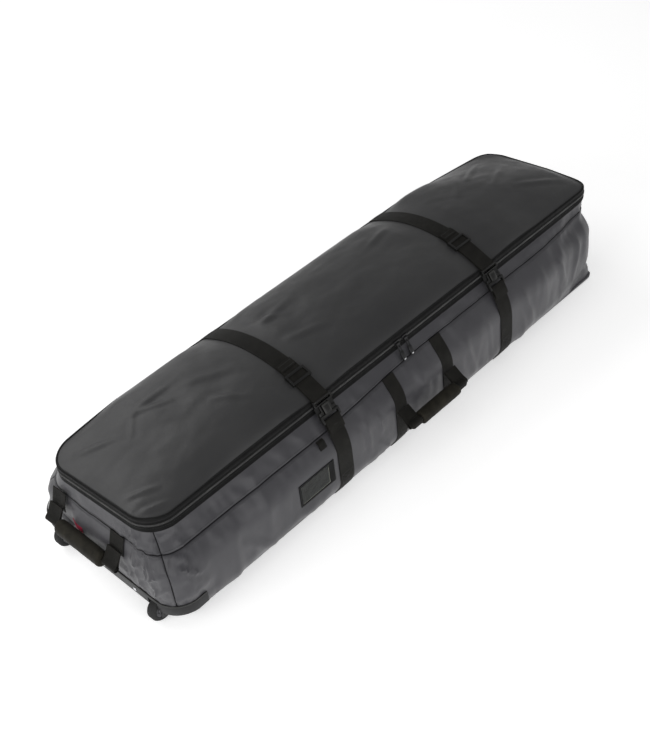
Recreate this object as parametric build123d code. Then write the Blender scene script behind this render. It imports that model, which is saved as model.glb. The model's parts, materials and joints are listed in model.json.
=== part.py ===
# Wheeled snowboard bag with a full-length hinged lid, millimetres.
# Origin: on the floor, under the middle of the zip outline.
# +X runs to the head end, -X to the wheel end, -Y is the front (carry handle),
# +Y is the rear (lid hinge), and +Z is up.
from build123d import *

import os
from math import asin, cos, degrees, hypot, radians, sin

os.makedirs("parts", exist_ok=True)

# ---------------------------------------------------------------- overall sizes
LID_LENGTH = 1570.0          # zip outline, end to end
LID_WIDTH = 372.0            # zip outline, front to rear
LID_CORNER_RADIUS = 70.0
ZIP_HEIGHT = 265.0           # where the two rows of the coil meet
ZIP_TAPE_WIDTH = 14.0        # each tape, from the coil to its seam
LID_SKIRT = 2.0              # upright cloth between the upper tape and the crown
CROWN_RISE = 52.0            # middle of the lid above its own edge
END_FALL = 2.3               # the crown falls this many times slower to the ends

BELLY_WIDTH = 500.0
BELLY_LOW = 50.0
BELLY_HIGH = 172.0
BELLY_CORNER_RADIUS = 62.0
BASE_WIDTH = 430.0
BASE_CORNER_RADIUS = 40.0
SEAM_HEIGHT = 205.0          # seam between the gusset and the walls
WHEEL_END_BULGE = 27.0       # belly beyond the zip outline
HEAD_END_BULGE = 5.0
BASE_TUCK = 13.0             # base inside the zip outline at each end
HINGE_LENGTH = 1140.0        # unzipped stretch of the rear edge

# ---------------------------------------------------------------- cloth layers
CLOTH = 1.5
FOAM = 6.0
LINING = 0.8
BASE_BOARD = 3.0
BASE_FOAM = 5.0
SEAM_GAP = 0.6               # between a gusset's top edge and the zip tape

# ---------------------------------------------------------------- lid hinge
HINGE_OFFSET = 4.6           # axis outside the rear cloth, past the webbing
HINGE_GAP = 0.3              # each side of the axis height

# ---------------------------------------------------------------- zip
TAPE_THICKNESS = 1.2
COIL_GAP = 0.7               # half the space between the rows
COIL_HEIGHT = 2.3
COIL_DEPTH = 2.2
SLIDER_LENGTH = 18.0
SLIDER_HEIGHT = 15.0
SLIDER_WING = 1.5
SLIDER_CLEARANCE = 0.6
SLIDER_CENTRE = 14.0         # each slider from the middle
SLIDER_POST = 0.8
PULL_PIN_RADIUS = 0.9
PULL_BARREL_RADIUS = 1.7
PULL_LENGTH = 46.0
PULL_WIDTH = 9.0
PULL_THICKNESS = 2.0
PULL_REST_ANGLE = 27.0       # hangs outward on the sloping gusset
PULL_BARREL_GAP = 0.2
EAR_WIDTH = 1.6
STOP_LENGTH = 6.0
STOP_GAP = 0.2

# ---------------------------------------------------------------- compression straps
STRAP_POSITIONS = {"wheel": -278.0, "head": 330.0}
STRAP_ADJUSTER_REACH = {"wheel": 125.0, "head": 102.0}   # triglide in front of the middle
WEBBING_WIDTH = 46.0
WEBBING = 2.0
WEBBING_CLEARANCE = 0.6
LAYER_GAP = 1.8              # between the two layers where the end is folded back
STRAP_TAIL = 48.0            # folded end beyond the triglide
STRAP_END_HEIGHT = 8.0       # webbing ends in the base seam
STRAP_FOLD = 32.0            # lower end folded back round its bar
BUCKLE_MARGIN = 5.0          # buckle beyond the webbing on each side
BUCKLE_THICKNESS = 9.0
BUCKLE_STANDOFF = 2.2        # clears the zip sliders behind it
BUCKLE_LENGTH = 58.0
MALE_LENGTH = 14.0
BUCKLE_WALL = 2.2
BUCKLE_BAR_RADIUS = 1.7
ARM_LENGTH = 27.0
ARM_WIDTH = 4.5
ARM_ROOT = 12.0              # inner face of an arm from the middle
ARM_HEAD_LENGTH = 11.0
ARM_GAP = 0.3
TRIGLIDE_LENGTH = 30.0
TRIGLIDE_BAR = 6.0
TRIGLIDE_WALL = 1.8
TRIGLIDE_GAP = 0.3
STRAP_ARC_STOP = 24.0        # the webbing leaves the crown this far inside the lid's edge
WEBBING_BAR_INSET = 5.0      # each webbing bar from its end of the buckle
LATCH_POCKET_DEPTH = 4.0
LATCH_POCKET_HEAD = 2.2

# ---------------------------------------------------------------- handles
CARRY_WEBBING_POSITIONS = (-80.0, 95.0)
CARRY_WEBBING_WIDTH = 38.0
CARRY_HINGE_HEIGHT = 140.0
CARRY_REACH = 36.0           # grip's centre outside the hinge
CARRY_DROP = 28.0            # grip's centre below the hinge
CARRY_GRIP_LENGTH = 136.0
GRIP_RADIUS = 18.5
GRIP_CORE = 4.9              # half the square core of rolled webbing inside a grip
GRIP_WIDENING = 1.2          # an end grip is this many times wider than it is thick
HANDLE_CLEARANCE = 2.4       # each handle's hinge line off the webbing behind it
HANDLE_WEBBING = 2.5
END_HANDLE_CENTRE = 24.0     # to the rear of the middle
END_HANDLE_SPACING = 206.0
END_HANDLE_WEBBING = 46.0
END_HINGE_HEIGHT = 176.0
END_REACH = 22.0
END_DROP = 36.0
END_GRIP_LENGTH = 156.0
HEAD_HANDLE_SPACING = 150.0
ANCHOR_TAIL = 14.0           # anchor tab below the hinge line

# ---------------------------------------------------------------- card window
WINDOW_CENTRE = (-378.0, 120.0)
CARD_LENGTH = 90.0
CARD_HEIGHT = 55.0
WINDOW_BORDER = 6.0
WINDOW_TAB = 18.0            # wider border on the open side
CARD_THICKNESS = 0.6
PANE_THICKNESS = 0.5
BORDER_THICKNESS = 1.6

# ---------------------------------------------------------------- wheels and tray
TRAY_HEIGHT = 78.0
TRAY_LENGTH = 60.0           # along the sides from the zip outline's end
TRAY_PROUD = 3.0
WHEEL_RADIUS = 31.0
WHEEL_WIDTH = 24.0
WHEEL_FLOOR_GAP = 2.0
WHEEL_SPACING = 340.0
WHEEL_OVERHANG = 15.0        # axle beyond the zip outline
TYRE_DEPTH = 11.0            # from the tread to the rim
WELL_CLEARANCE = 5.0
WELL_SIDE_GAP = 4.0
WELL_WALL = 3.0
AXLE_RADIUS = 4.0
AXLE_HEAD_RADIUS = 6.5
AXLE_HEAD = 3.0
CHEEK_MARGIN = 8.0           # tray wall round the axle hole
HEAD_RELIEF = 0.5
TYRE_EDGE = 6.0
RIM_INSET = 2.0
HUB_CLEARANCE = 3.0          # hub bore round the axle, between the bearings
RUNNING_CLEARANCE = 0.05
BEARING_RADIUS = 11.0
BEARING_WIDTH = 7.0
RIVET_RADIUS = 5.0
RIVET_HEAD = 1.8
RIVET_HEIGHT = 62.0
RIVET_POSITIONS = (-110.0, 0.0, 110.0)

# ---------------------------------------------------------------- derived places
HALF_LENGTH = LID_LENGTH / 2
HALF_WIDTH = LID_WIDTH / 2
GUSSET_TOP = ZIP_HEIGHT - ZIP_TAPE_WIDTH
LID_EDGE = ZIP_HEIGHT + ZIP_TAPE_WIDTH + LID_SKIRT
CROWN_RADIUS = (HALF_WIDTH**2 + CROWN_RISE**2) / (2 * CROWN_RISE)
CROWN_CENTRE = LID_EDGE + CROWN_RISE - CROWN_RADIUS
HINGE_Y = HALF_WIDTH + HINGE_OFFSET
FLOOR_STACK = CLOTH + BASE_BOARD
TRAY_START = -HALF_LENGTH + TRAY_LENGTH
BUCKLE_WIDTH = WEBBING_WIDTH + 2 * BUCKLE_MARGIN
WHEEL_X = -HALF_LENGTH - WHEEL_OVERHANG
WHEEL_Z = WHEEL_RADIUS + WHEEL_FLOOR_GAP
RIM_RADIUS = WHEEL_RADIUS - TYRE_DEPTH
BIG = 4000.0


def save(name, shape):
    """Write one sub-part, as one solid or as a group of separate solids."""
    solids = shape.solids() if hasattr(shape, "solids") else [s for p in shape for s in p.solids()]
    body = solids[0] if len(solids) == 1 else Compound(children=list(solids))
    body.label = name
    export_step(body, "parts/" + name + ".step")


def block(x, y, z):
    """Box between pairs of limits along X, Y and Z."""
    sizes = (x[1] - x[0], y[1] - y[0], z[1] - z[0])
    return Pos((x[0] + x[1]) / 2, (y[0] + y[1]) / 2, (z[0] + z[1]) / 2) * Box(*sizes)


def slab(low, high):
    """Everything between two heights."""
    return block((-BIG, BIG), (-BIG, BIG), (low, high))


def across(points, x_from, x_to):
    """Outline in the Y-Z plane, extruded along X."""
    face = make_face(Plane.YZ * Polyline(*points, close=True))
    return Pos(x_from, 0, 0) * extrude(face, x_to - x_from, dir=(1, 0, 0))


def offset_path(points, distance):
    """Path moved to its left by a distance, with mitred corners."""
    last = len(points) - 1
    moved = []
    for i, point in enumerate(points):
        first = direction_normal(points[max(i - 1, 0)], points[max(i, 1)])
        second = direction_normal(points[min(i, last - 1)], points[min(i + 1, last)])
        total = (first[0] + second[0], first[1] + second[1])
        scale = 2 * distance / (total[0]**2 + total[1]**2)
        moved.append((point[0] + total[0] * scale, point[1] + total[1] * scale))
    return moved


def ribbon(points, thickness):
    """Outline of a band of even thickness centred on a path."""
    left = offset_path(points, thickness / 2)
    right = offset_path(points, -thickness / 2)
    return left + right[::-1]


def direction_normal(start, end):
    """Unit normal to the left of a segment."""
    length = hypot(end[0] - start[0], end[1] - start[1])
    return (-(end[1] - start[1]) / length, (end[0] - start[0]) / length)


# ================================================================ the bag's walls
def bag_section(height, width, wheel_reach, head_reach, radius, inset):
    """Rounded outline of the bag at one height, drawn in by an inset."""
    length = wheel_reach + head_reach - 2 * inset
    middle = (head_reach - wheel_reach) / 2
    return Pos(middle, 0, height) * RectangleRounded(length, width - 2 * inset, radius - inset)


def bag_form(inset):
    """Solid form of the bag's base up to the zip, drawn in by an inset."""
    wheel_belly = HALF_LENGTH + WHEEL_END_BULGE
    head_belly = HALF_LENGTH + HEAD_END_BULGE
    base_reach = HALF_LENGTH - BASE_TUCK
    sections = [
        bag_section(0, BASE_WIDTH, base_reach, base_reach, BASE_CORNER_RADIUS, inset),
        bag_section(BELLY_LOW, BELLY_WIDTH, wheel_belly, head_belly, BELLY_CORNER_RADIUS, inset),
        bag_section(BELLY_HIGH, BELLY_WIDTH, wheel_belly, head_belly, BELLY_CORNER_RADIUS, inset),
        bag_section(GUSSET_TOP, LID_WIDTH, HALF_LENGTH, HALF_LENGTH, LID_CORNER_RADIUS, inset),
    ]
    return loft(sections, ruled=True)


def zip_form(inset, low, high):
    """Upright form with the zip's outline."""
    outline = bag_section(low, LID_WIDTH, HALF_LENGTH, HALF_LENGTH, LID_CORNER_RADIUS, inset)
    return extrude(outline, high - low, dir=(0, 0, 1))


def side_region(side):
    """Prism that holds one side, cut at 45 degrees through the corners."""
    out = 400.0
    far_x = HALF_LENGTH + out
    far_y = HALF_WIDTH + out
    near_x = HALF_LENGTH - HALF_WIDTH
    outlines = {
        "front": [(-far_x, -far_y), (far_x, -far_y), (near_x, 0), (-near_x, 0)],
        "rear": [(-far_x, far_y), (-near_x, 0), (near_x, 0), (far_x, far_y)],
        "wheel_end": [(-far_x, -far_y), (-near_x, 0), (-far_x, far_y)],
        "head_end": [(far_x, -far_y), (far_x, far_y), (near_x, 0)],
    }
    return extrude(make_face(Polyline(*outlines[side], close=True)), BIG, dir=(0, 0, 1))


SIDES = ("front", "rear", "wheel_end", "head_end")
hinge_stretch = block((-HINGE_LENGTH / 2, HINGE_LENGTH / 2), (0, BIG), (-BIG, BIG))
tray_region = block((-BIG, TRAY_START), (-BIG, BIG), (0, TRAY_HEIGHT))
outer = bag_form(0)
inside_cloth = bag_form(CLOTH)
inside_foam = bag_form(CLOTH + FOAM)
inside_lining = bag_form(CLOTH + FOAM + LINING)

shell = outer - inside_cloth
hinge_strip = zip_form(0, GUSSET_TOP, ZIP_HEIGHT - HINGE_GAP) - zip_form(CLOTH, 0, BIG)
hinge_strip = hinge_strip & hinge_stretch
well_half = WHEEL_WIDTH / 2 + WELL_SIDE_GAP


def wheel_well(side, extra):
    """Space round one wheel, open to the floor and to the end."""
    middle = side * WHEEL_SPACING / 2
    reach = WHEEL_RADIUS + WELL_CLEARANCE + extra
    half = well_half + extra
    tunnel = Rot(90, 0, 0) * Cylinder(reach, 2 * half)
    tunnel = Pos(WHEEL_X, middle, WHEEL_Z) * tunnel
    drop = block((WHEEL_X, WHEEL_X + reach), (middle - half, middle + half), (-BIG, WHEEL_Z))
    mouth = block((-BIG, WHEEL_X), (middle - half, middle + half), (-BIG, WHEEL_Z + reach))
    return tunnel + drop + mouth


wells = wheel_well(-1, 0) + wheel_well(1, 0)
well_shells = wheel_well(-1, WELL_WALL) + wheel_well(1, WELL_WALL)
FOAM_RELIEF = WELL_WALL + AXLE_HEAD + 1.0
foam_relief = wheel_well(-1, FOAM_RELIEF) + wheel_well(1, FOAM_RELIEF)

for side in SIDES:
    region = side_region(side)
    wall = (shell & slab(0, SEAM_HEIGHT) & region) - tray_region
    save(side + "_wall", wall)
    gusset = shell & slab(SEAM_HEIGHT, GUSSET_TOP - SEAM_GAP) & region
    save(side + "_gusset", gusset)

save("rear_hinge_tape", hinge_strip)
base_panel = (inside_cloth & slab(0, CLOTH)) - tray_region
save("base_panel", base_panel)
board = (inside_cloth & slab(CLOTH, FLOOR_STACK)) - tray_region
save("base_board", board)
foam_top = FLOOR_STACK + BASE_FOAM
base_foam = (inside_cloth & slab(FLOOR_STACK, foam_top)) - foam_relief
save("base_foam", base_foam)
foam_ring = (inside_cloth - inside_foam) & slab(foam_top, GUSSET_TOP - SEAM_GAP)
foam_ring = foam_ring - foam_relief
save("wall_foam", [foam_ring & side_region(side) for side in SIDES])
lining = inside_foam & slab(foam_top, GUSSET_TOP - SEAM_GAP)
lining = lining - (inside_lining & slab(foam_top + LINING, BIG)) - foam_relief
save("base_lining", lining)

# ================================================================ wheel tray, axles and wheels
tray = (bag_form(-TRAY_PROUD) - inside_cloth) & tray_region
tray = tray + (inside_cloth & tray_region & slab(0, FLOOR_STACK))
tray = tray + (well_shells & inside_cloth & tray_region)
cheek_reach = AXLE_RADIUS + CHEEK_MARGIN
for wheel_side in (-1, 1):
    for cheek_side in (-1, 1):
        inner = wheel_side * WHEEL_SPACING / 2 + cheek_side * well_half
        outer_face = inner + cheek_side * WELL_WALL
        span_y = (min(inner, outer_face), max(inner, outer_face))
        inboard = WHEEL_X + WHEEL_RADIUS
        tray = tray + block((WHEEL_X - cheek_reach, inboard), span_y,
                            (WHEEL_Z - cheek_reach, WHEEL_Z + cheek_reach))
tray = tray - wells
axle_length = 2 * (well_half + WELL_WALL)
for wheel_side in (-1, 1):
    hole = Rot(90, 0, 0) * Cylinder(AXLE_RADIUS, axle_length)
    middle = Pos(WHEEL_X, wheel_side * WHEEL_SPACING / 2, WHEEL_Z)
    tray = tray - middle * hole
    for end in (-1, 1):
        relief = Rot(90, 0, 0) * Cylinder(AXLE_HEAD_RADIUS + HEAD_RELIEF, AXLE_HEAD + 2)
        tray = tray - middle * Pos(0, end * (axle_length + AXLE_HEAD + 2) / 2, 0) * relief
save("wheel_tray", tray)


def axle():
    """Axle bolt with a low head at each end, along Y."""
    shank = Rot(90, 0, 0) * Cylinder(AXLE_RADIUS, axle_length)
    head = Rot(90, 0, 0) * Cylinder(AXLE_HEAD_RADIUS, AXLE_HEAD)
    offset = (axle_length + AXLE_HEAD) / 2
    return shank + Pos(0, offset, 0) * head + Pos(0, -offset, 0) * head


def wheel_parts():
    """Tyre, hub and bearings of one wheel, about the Y axis."""
    turn = Rot(90, 0, 0)
    tyre = Cylinder(WHEEL_RADIUS, WHEEL_WIDTH) - Cylinder(RIM_RADIUS, WHEEL_WIDTH)
    outside = tyre.edges().filter_by(GeomType.CIRCLE)
    outside = outside.filter_by(lambda edge: edge.radius > WHEEL_RADIUS - 1)
    tyre = fillet(outside, TYRE_EDGE)
    hub_width = WHEEL_WIDTH - RIM_INSET
    hub = Cylinder(RIM_RADIUS, hub_width) - Cylinder(AXLE_RADIUS + HUB_CLEARANCE, WHEEL_WIDTH)
    seat_offset = (hub_width - BEARING_WIDTH) / 2
    bearings = []
    for end in (-1, 1):
        hub = hub - Pos(0, 0, end * seat_offset) * Cylinder(BEARING_RADIUS, BEARING_WIDTH)
        race = Cylinder(BEARING_RADIUS, BEARING_WIDTH)
        race = race - Cylinder(AXLE_RADIUS + RUNNING_CLEARANCE, BEARING_WIDTH)
        bearings.append(turn * Pos(0, 0, end * seat_offset) * race)
    return turn * tyre, turn * hub, bearings


axles = []
for label, wheel_side in (("front", -1), ("rear", 1)):
    place = Pos(WHEEL_X, wheel_side * WHEEL_SPACING / 2, WHEEL_Z)
    tyre, hub, bearings = wheel_parts()
    save(label + "_wheel_tyre", place * tyre)
    save(label + "_wheel_hub", place * hub)
    save(label + "_wheel_bearings", [place * race for race in bearings])
    axles.append(place * axle())
save("wheel_axles", axles)

tray_face = -HALF_LENGTH - WHEEL_END_BULGE - TRAY_PROUD
rivets = []
for position in RIVET_POSITIONS:
    head = Rot(0, 90, 0) * Cylinder(RIVET_RADIUS, RIVET_HEAD)
    rivets.append(Pos(tray_face - RIVET_HEAD / 2, position, RIVET_HEIGHT) * head)
save("tray_rivets", rivets)


# ================================================================ lid
def crown_drop(inset):
    """How far the crown's arc lies under its top at a distance in from the long edge."""
    offset = HALF_WIDTH - inset
    return CROWN_RADIUS - (CROWN_RADIUS**2 - offset**2) ** 0.5


def lid_form(inset):
    """Solid form of the lid above the zip, drawn in and lowered by an inset."""
    steps = (0.0, 40.0, 82.0, 122.0, 156.0)
    sections = []
    for step in steps:
        height = LID_EDGE + CROWN_RISE - crown_drop(step) - inset
        radius = LID_CORNER_RADIUS * (1 - step / HALF_WIDTH)
        reach = HALF_LENGTH - step * END_FALL
        sections.append(bag_section(height, LID_WIDTH - 2 * step, reach, reach,
                                    radius + inset / 2, inset))
    dome = loft(sections, ruled=True)
    upright = zip_form(inset, ZIP_HEIGHT, LID_EDGE - inset)
    return (dome + upright) & slab(ZIP_HEIGHT + ZIP_TAPE_WIDTH, BIG)


lid_outer = lid_form(0)
lid_cloth = lid_form(CLOTH)
lid_foam = lid_form(CLOTH + FOAM)
lid_skirt = zip_form(0, ZIP_HEIGHT + HINGE_GAP, LID_EDGE) - zip_form(CLOTH, 0, BIG)
lid_panel = (lid_outer - lid_cloth) + (lid_skirt & hinge_stretch)
save("lid_panel", lid_panel)
save("lid_foam", lid_cloth - lid_foam)
save("lid_lining", lid_foam - lid_form(CLOTH + FOAM + LINING))

# ================================================================ zip
tape_ring = zip_form(0, 0, BIG) - zip_form(TAPE_THICKNESS, 0, BIG)
coil_ring = zip_form(-COIL_DEPTH, 0, BIG) - zip_form(0, 0, BIG)
zip_run = hinge_stretch
lower_tape = tape_ring & slab(GUSSET_TOP, ZIP_HEIGHT - COIL_GAP)
upper_tape = tape_ring & slab(ZIP_HEIGHT + COIL_GAP, ZIP_HEIGHT + ZIP_TAPE_WIDTH)
lower_coil = coil_ring & slab(ZIP_HEIGHT - COIL_GAP - COIL_HEIGHT, ZIP_HEIGHT - COIL_GAP)
upper_coil = coil_ring & slab(ZIP_HEIGHT + COIL_GAP, ZIP_HEIGHT + COIL_GAP + COIL_HEIGHT)
save("lower_zip_tape", lower_tape - zip_run)
save("upper_zip_tape", upper_tape - zip_run)
save("lower_zip_coil", lower_coil - zip_run)
save("upper_zip_coil", upper_coil - zip_run)

coil_face = -HALF_WIDTH - COIL_DEPTH
wing_inner = coil_face - SLIDER_CLEARANCE
wing_outer = wing_inner - SLIDER_WING
wing_back = -HALF_WIDTH + TAPE_THICKNESS + SLIDER_CLEARANCE
pin_y = wing_outer - PULL_BARREL_RADIUS - PULL_BARREL_GAP
ear_offset = PULL_WIDTH / 2 + SLIDER_CLEARANCE / 2


def zip_slider(x):
    """Slider: two wings, the post between the rows and two ears with a pin."""
    half = SLIDER_LENGTH / 2
    span_z = (ZIP_HEIGHT - SLIDER_HEIGHT / 2, ZIP_HEIGHT + SLIDER_HEIGHT / 2)
    body = block((x - half, x + half), (wing_outer, wing_inner), span_z)
    body = body + block((x - half, x + half), (wing_back, wing_back + SLIDER_WING), span_z)
    post_z = (ZIP_HEIGHT - SLIDER_POST / 2, ZIP_HEIGHT + SLIDER_POST / 2)
    body = body + block((x - 2, x + 2), (wing_inner, wing_back), post_z)
    for end in (-1, 1):
        near = x + end * ear_offset
        span_x = (min(near, near + end * EAR_WIDTH), max(near, near + end * EAR_WIDTH))
        ear_z = (ZIP_HEIGHT - PULL_BARREL_RADIUS, ZIP_HEIGHT + PULL_BARREL_RADIUS)
        body = body + block(span_x, (pin_y - PULL_BARREL_RADIUS, wing_outer), ear_z)
    pin = Rot(0, 90, 0) * Cylinder(PULL_PIN_RADIUS, 2 * ear_offset)
    return body + Pos(x, pin_y, ZIP_HEIGHT) * pin


def zip_pull(x):
    """Pull tab: a barrel on the pin, a plate and a thicker grip end with a hole."""
    half = PULL_WIDTH / 2
    barrel = Rot(0, 90, 0) * Cylinder(PULL_BARREL_RADIUS, PULL_WIDTH)
    plate = block((-half, half), (-PULL_THICKNESS / 2, PULL_THICKNESS / 2), (-PULL_LENGTH, 0))
    tip = block((-half - 1, half + 1), (-PULL_THICKNESS, PULL_THICKNESS / 2),
                (-PULL_LENGTH, -PULL_LENGTH / 2))
    bore = Rot(0, 90, 0) * Cylinder(PULL_PIN_RADIUS + 0.1, PULL_WIDTH)
    slot = block((-2, 2), (-5, 5), (-PULL_LENGTH / 2 + 2, -5))
    tab = barrel + plate + tip - bore - slot
    return Pos(x, pin_y, ZIP_HEIGHT) * Rot(-PULL_REST_ANGLE, 0, 0) * tab


for label, x in (("left", -SLIDER_CENTRE), ("right", SLIDER_CENTRE)):
    save(label + "_zip_slider", zip_slider(x))
    save(label + "_zip_pull", zip_pull(x))

stops = []
for end in (-1, 1):
    near = end * HINGE_LENGTH / 2
    span_x = (min(near, near - end * STOP_LENGTH), max(near, near - end * STOP_LENGTH))
    stops.append(block(span_x, (HALF_WIDTH + STOP_GAP, HALF_WIDTH + COIL_DEPTH),
                       (ZIP_HEIGHT - STOP_LENGTH, ZIP_HEIGHT - COIL_GAP)))
save("zip_end_stops", stops)


# ================================================================ compression straps
def unit(vector):
    length = hypot(*vector)
    return (vector[0] / length, vector[1] / length)


# The front run of a strap is straight from the lid's edge to the belly, in Y and Z.
webbing_middle = BUCKLE_STANDOFF + BUCKLE_THICKNESS / 2
lid_corner = (-HALF_WIDTH, LID_EDGE)
belly_corner = (-BELLY_WIDTH / 2, BELLY_HIGH)
chord = (belly_corner[0] - lid_corner[0], belly_corner[1] - lid_corner[1])
lift = webbing_middle - WEBBING / 2 - WEBBING_CLEARANCE
tilt = asin(lift / hypot(*chord))
down = (chord[0] * cos(tilt) + chord[1] * sin(tilt), chord[1] * cos(tilt) - chord[0] * sin(tilt))
down = unit(down)
outward = (down[1], -down[0])


def strap_point(along, out):
    """Point on a strap's front run: distance down from the lid's edge, and outward."""
    return (lid_corner[0] + along * down[0] + out * outward[0],
            lid_corner[1] + along * down[1] + out * outward[1])


def on_front_run(shape, x):
    """Place a shape drawn with X across, Y down the run and Z outward."""
    corner = Vector(x, lid_corner[0], lid_corner[1])
    plane = Plane(origin=corner, x_dir=(-1, 0, 0), z_dir=(0, outward[0], outward[1]))
    return plane.location * shape


def crown_band(inner, outer_r, start, end, width, x):
    """Band that follows the crown, between two angles from the top, front positive."""
    low, high = CROWN_RADIUS + inner, CROWN_RADIUS + outer_r
    face = make_face(Plane.XZ * Polyline(
        (x - width / 2, low), (x + width / 2, low), (x + width / 2, high), (x - width / 2, high),
        close=True))
    band = revolve(face, Axis((0, 0, 0), (1, 0, 0)), end - start)
    return Pos(0, 0, CROWN_CENTRE) * Rot(start, 0, 0) * band


def crown_point(radius_extra, angle):
    radius = CROWN_RADIUS + radius_extra
    return (-radius * sin(radians(angle)), CROWN_CENTRE + radius * cos(radians(angle)))


ARC_END = degrees(asin((HALF_WIDTH - STRAP_ARC_STOP) / CROWN_RADIUS))
REAR_ARC_END = -degrees(asin(HALF_WIDTH / CROWN_RADIUS))
layer_one = (WEBBING_CLEARANCE, WEBBING_CLEARANCE + WEBBING)
layer_two = (layer_one[1] + LAYER_GAP, layer_one[1] + LAYER_GAP + WEBBING)
BAR_ALONG = WEBBING_BAR_INSET
LOOP = BUCKLE_BAR_RADIUS + 0.1 + WEBBING / 2


def upper_webbing(x, tail_angle):
    """Webbing over the lid, folded back round the male buckle's bar."""
    width = WEBBING_WIDTH
    over = crown_band(*layer_one, REAR_ARC_END, ARC_END, width, x)
    folded = crown_band(*layer_two, tail_angle, ARC_END, width, x)
    path = [
        crown_point(layer_one[0] + WEBBING / 2, ARC_END - 0.4),
        strap_point(BAR_ALONG - 4, webbing_middle - LOOP),
        strap_point(BAR_ALONG + LOOP, webbing_middle - LOOP),
        strap_point(BAR_ALONG + LOOP, webbing_middle + LOOP),
        strap_point(BAR_ALONG - 4, webbing_middle + LOOP),
        crown_point(layer_two[0] + WEBBING / 2, ARC_END - 0.4),
    ]
    loop = across(ribbon(path, WEBBING), x - width / 2, x + width / 2)
    rear_face = HALF_WIDTH + WEBBING_CLEARANCE
    rear = block((x - width / 2, x + width / 2), (rear_face, rear_face + WEBBING),
                 (ZIP_HEIGHT + HINGE_GAP, LID_EDGE + WEBBING))
    return over + folded + loop + rear


# The wall under the gusset, from the belly down to the base seam, in Y and Z.
base_slope = (BELLY_WIDTH - BASE_WIDTH) / 2 / BELLY_LOW
front_wall_line = [
    (-BELLY_WIDTH / 2, BELLY_HIGH),
    (-BELLY_WIDTH / 2, BELLY_LOW),
    (-BASE_WIDTH / 2 - STRAP_END_HEIGHT * base_slope, STRAP_END_HEIGHT),
]
WEBBING_MIDDLE_GAP = WEBBING_CLEARANCE + WEBBING / 2


def lower_webbing(x):
    """Webbing on the front wall and on the rear wall, sewn into the base seam."""
    width = WEBBING_WIDTH
    bar_along = BUCKLE_LENGTH - BAR_ALONG
    path = [
        strap_point(bar_along + STRAP_FOLD, webbing_middle + LOOP),
        strap_point(bar_along - LOOP, webbing_middle + LOOP),
        strap_point(bar_along - LOOP, webbing_middle - LOOP),
        strap_point(bar_along + 10, webbing_middle - LOOP),
    ] + offset_path(front_wall_line, -WEBBING_MIDDLE_GAP)
    front = across(ribbon(path, WEBBING), x - width / 2, x + width / 2)
    rear_line = [(HALF_WIDTH, ZIP_HEIGHT - HINGE_GAP), (HALF_WIDTH, GUSSET_TOP)]
    rear_line += [(-y, z) for y, z in front_wall_line]
    rear_path = offset_path(rear_line, WEBBING_MIDDLE_GAP)
    rear = across(ribbon(rear_path, WEBBING), x - width / 2, x + width / 2)
    return [front, rear]


buckle_low, buckle_high = BUCKLE_STANDOFF, BUCKLE_STANDOFF + BUCKLE_THICKNESS
half_buckle = BUCKLE_WIDTH / 2
rail = (BUCKLE_WIDTH - WEBBING_WIDTH - 1) / 2
prong_low = buckle_low + BUCKLE_WALL + ARM_GAP
prong_high = prong_low + 4.0


def male_buckle(x):
    """Male half: side rails, webbing bar, cross piece and centre tongue."""
    frame = block((-half_buckle, half_buckle), (0, MALE_LENGTH), (buckle_low, buckle_high))
    window = block((-half_buckle + rail, half_buckle - rail), (-1, MALE_LENGTH - 3),
                   (buckle_low - 1, buckle_high + 1))
    bar = Pos(0, BAR_ALONG, webbing_middle) * Rot(0, 90, 0) * Cylinder(BUCKLE_BAR_RADIUS,
                                                                      BUCKLE_WIDTH - rail)
    tongue = block((-6, 6), (MALE_LENGTH - 1, MALE_LENGTH + ARM_LENGTH - 2),
                   (prong_low, prong_high))
    return on_front_run(frame - window + bar + tongue, x)


def latch_arm(x, side):
    """Springy arm of the male half, ending in a head that the finger squeezes."""
    start = MALE_LENGTH + ARM_GAP
    end = MALE_LENGTH + ARM_LENGTH
    arm = block((ARM_ROOT, ARM_ROOT + ARM_WIDTH), (start, end), (prong_low, prong_high))
    head = block((ARM_ROOT, half_buckle - 2), (end - ARM_HEAD_LENGTH, end),
                 (prong_low, prong_high))
    both = arm + head
    return on_front_run(both if side > 0 else mirror(both, Plane.YZ), x)


def female_buckle(x):
    """Female half: back plate, end block with pockets, and the webbing bar."""
    start = MALE_LENGTH + 2 * ARM_GAP
    block_start = MALE_LENGTH + ARM_LENGTH - 2
    plate = block((-half_buckle, half_buckle), (start, BUCKLE_LENGTH),
                  (buckle_low, buckle_low + BUCKLE_WALL))
    end_block = block((-half_buckle, half_buckle), (block_start, BUCKLE_LENGTH),
                      (buckle_low, buckle_high))
    pocket = block((-half_buckle + 1, half_buckle - 1),
                   (block_start - 1, block_start + LATCH_POCKET_DEPTH),
                   (buckle_low + BUCKLE_WALL, prong_high + LATCH_POCKET_HEAD))
    window = block((-half_buckle + rail, half_buckle - rail), (block_start + 6, BUCKLE_LENGTH + 1),
                   (buckle_low - 1, buckle_high + 1))
    bar = Pos(0, BUCKLE_LENGTH - BAR_ALONG, webbing_middle) * Rot(0, 90, 0) * Cylinder(
        BUCKLE_BAR_RADIUS, BUCKLE_WIDTH - rail)
    return on_front_run(plate + end_block - pocket - window + bar, x)


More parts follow.
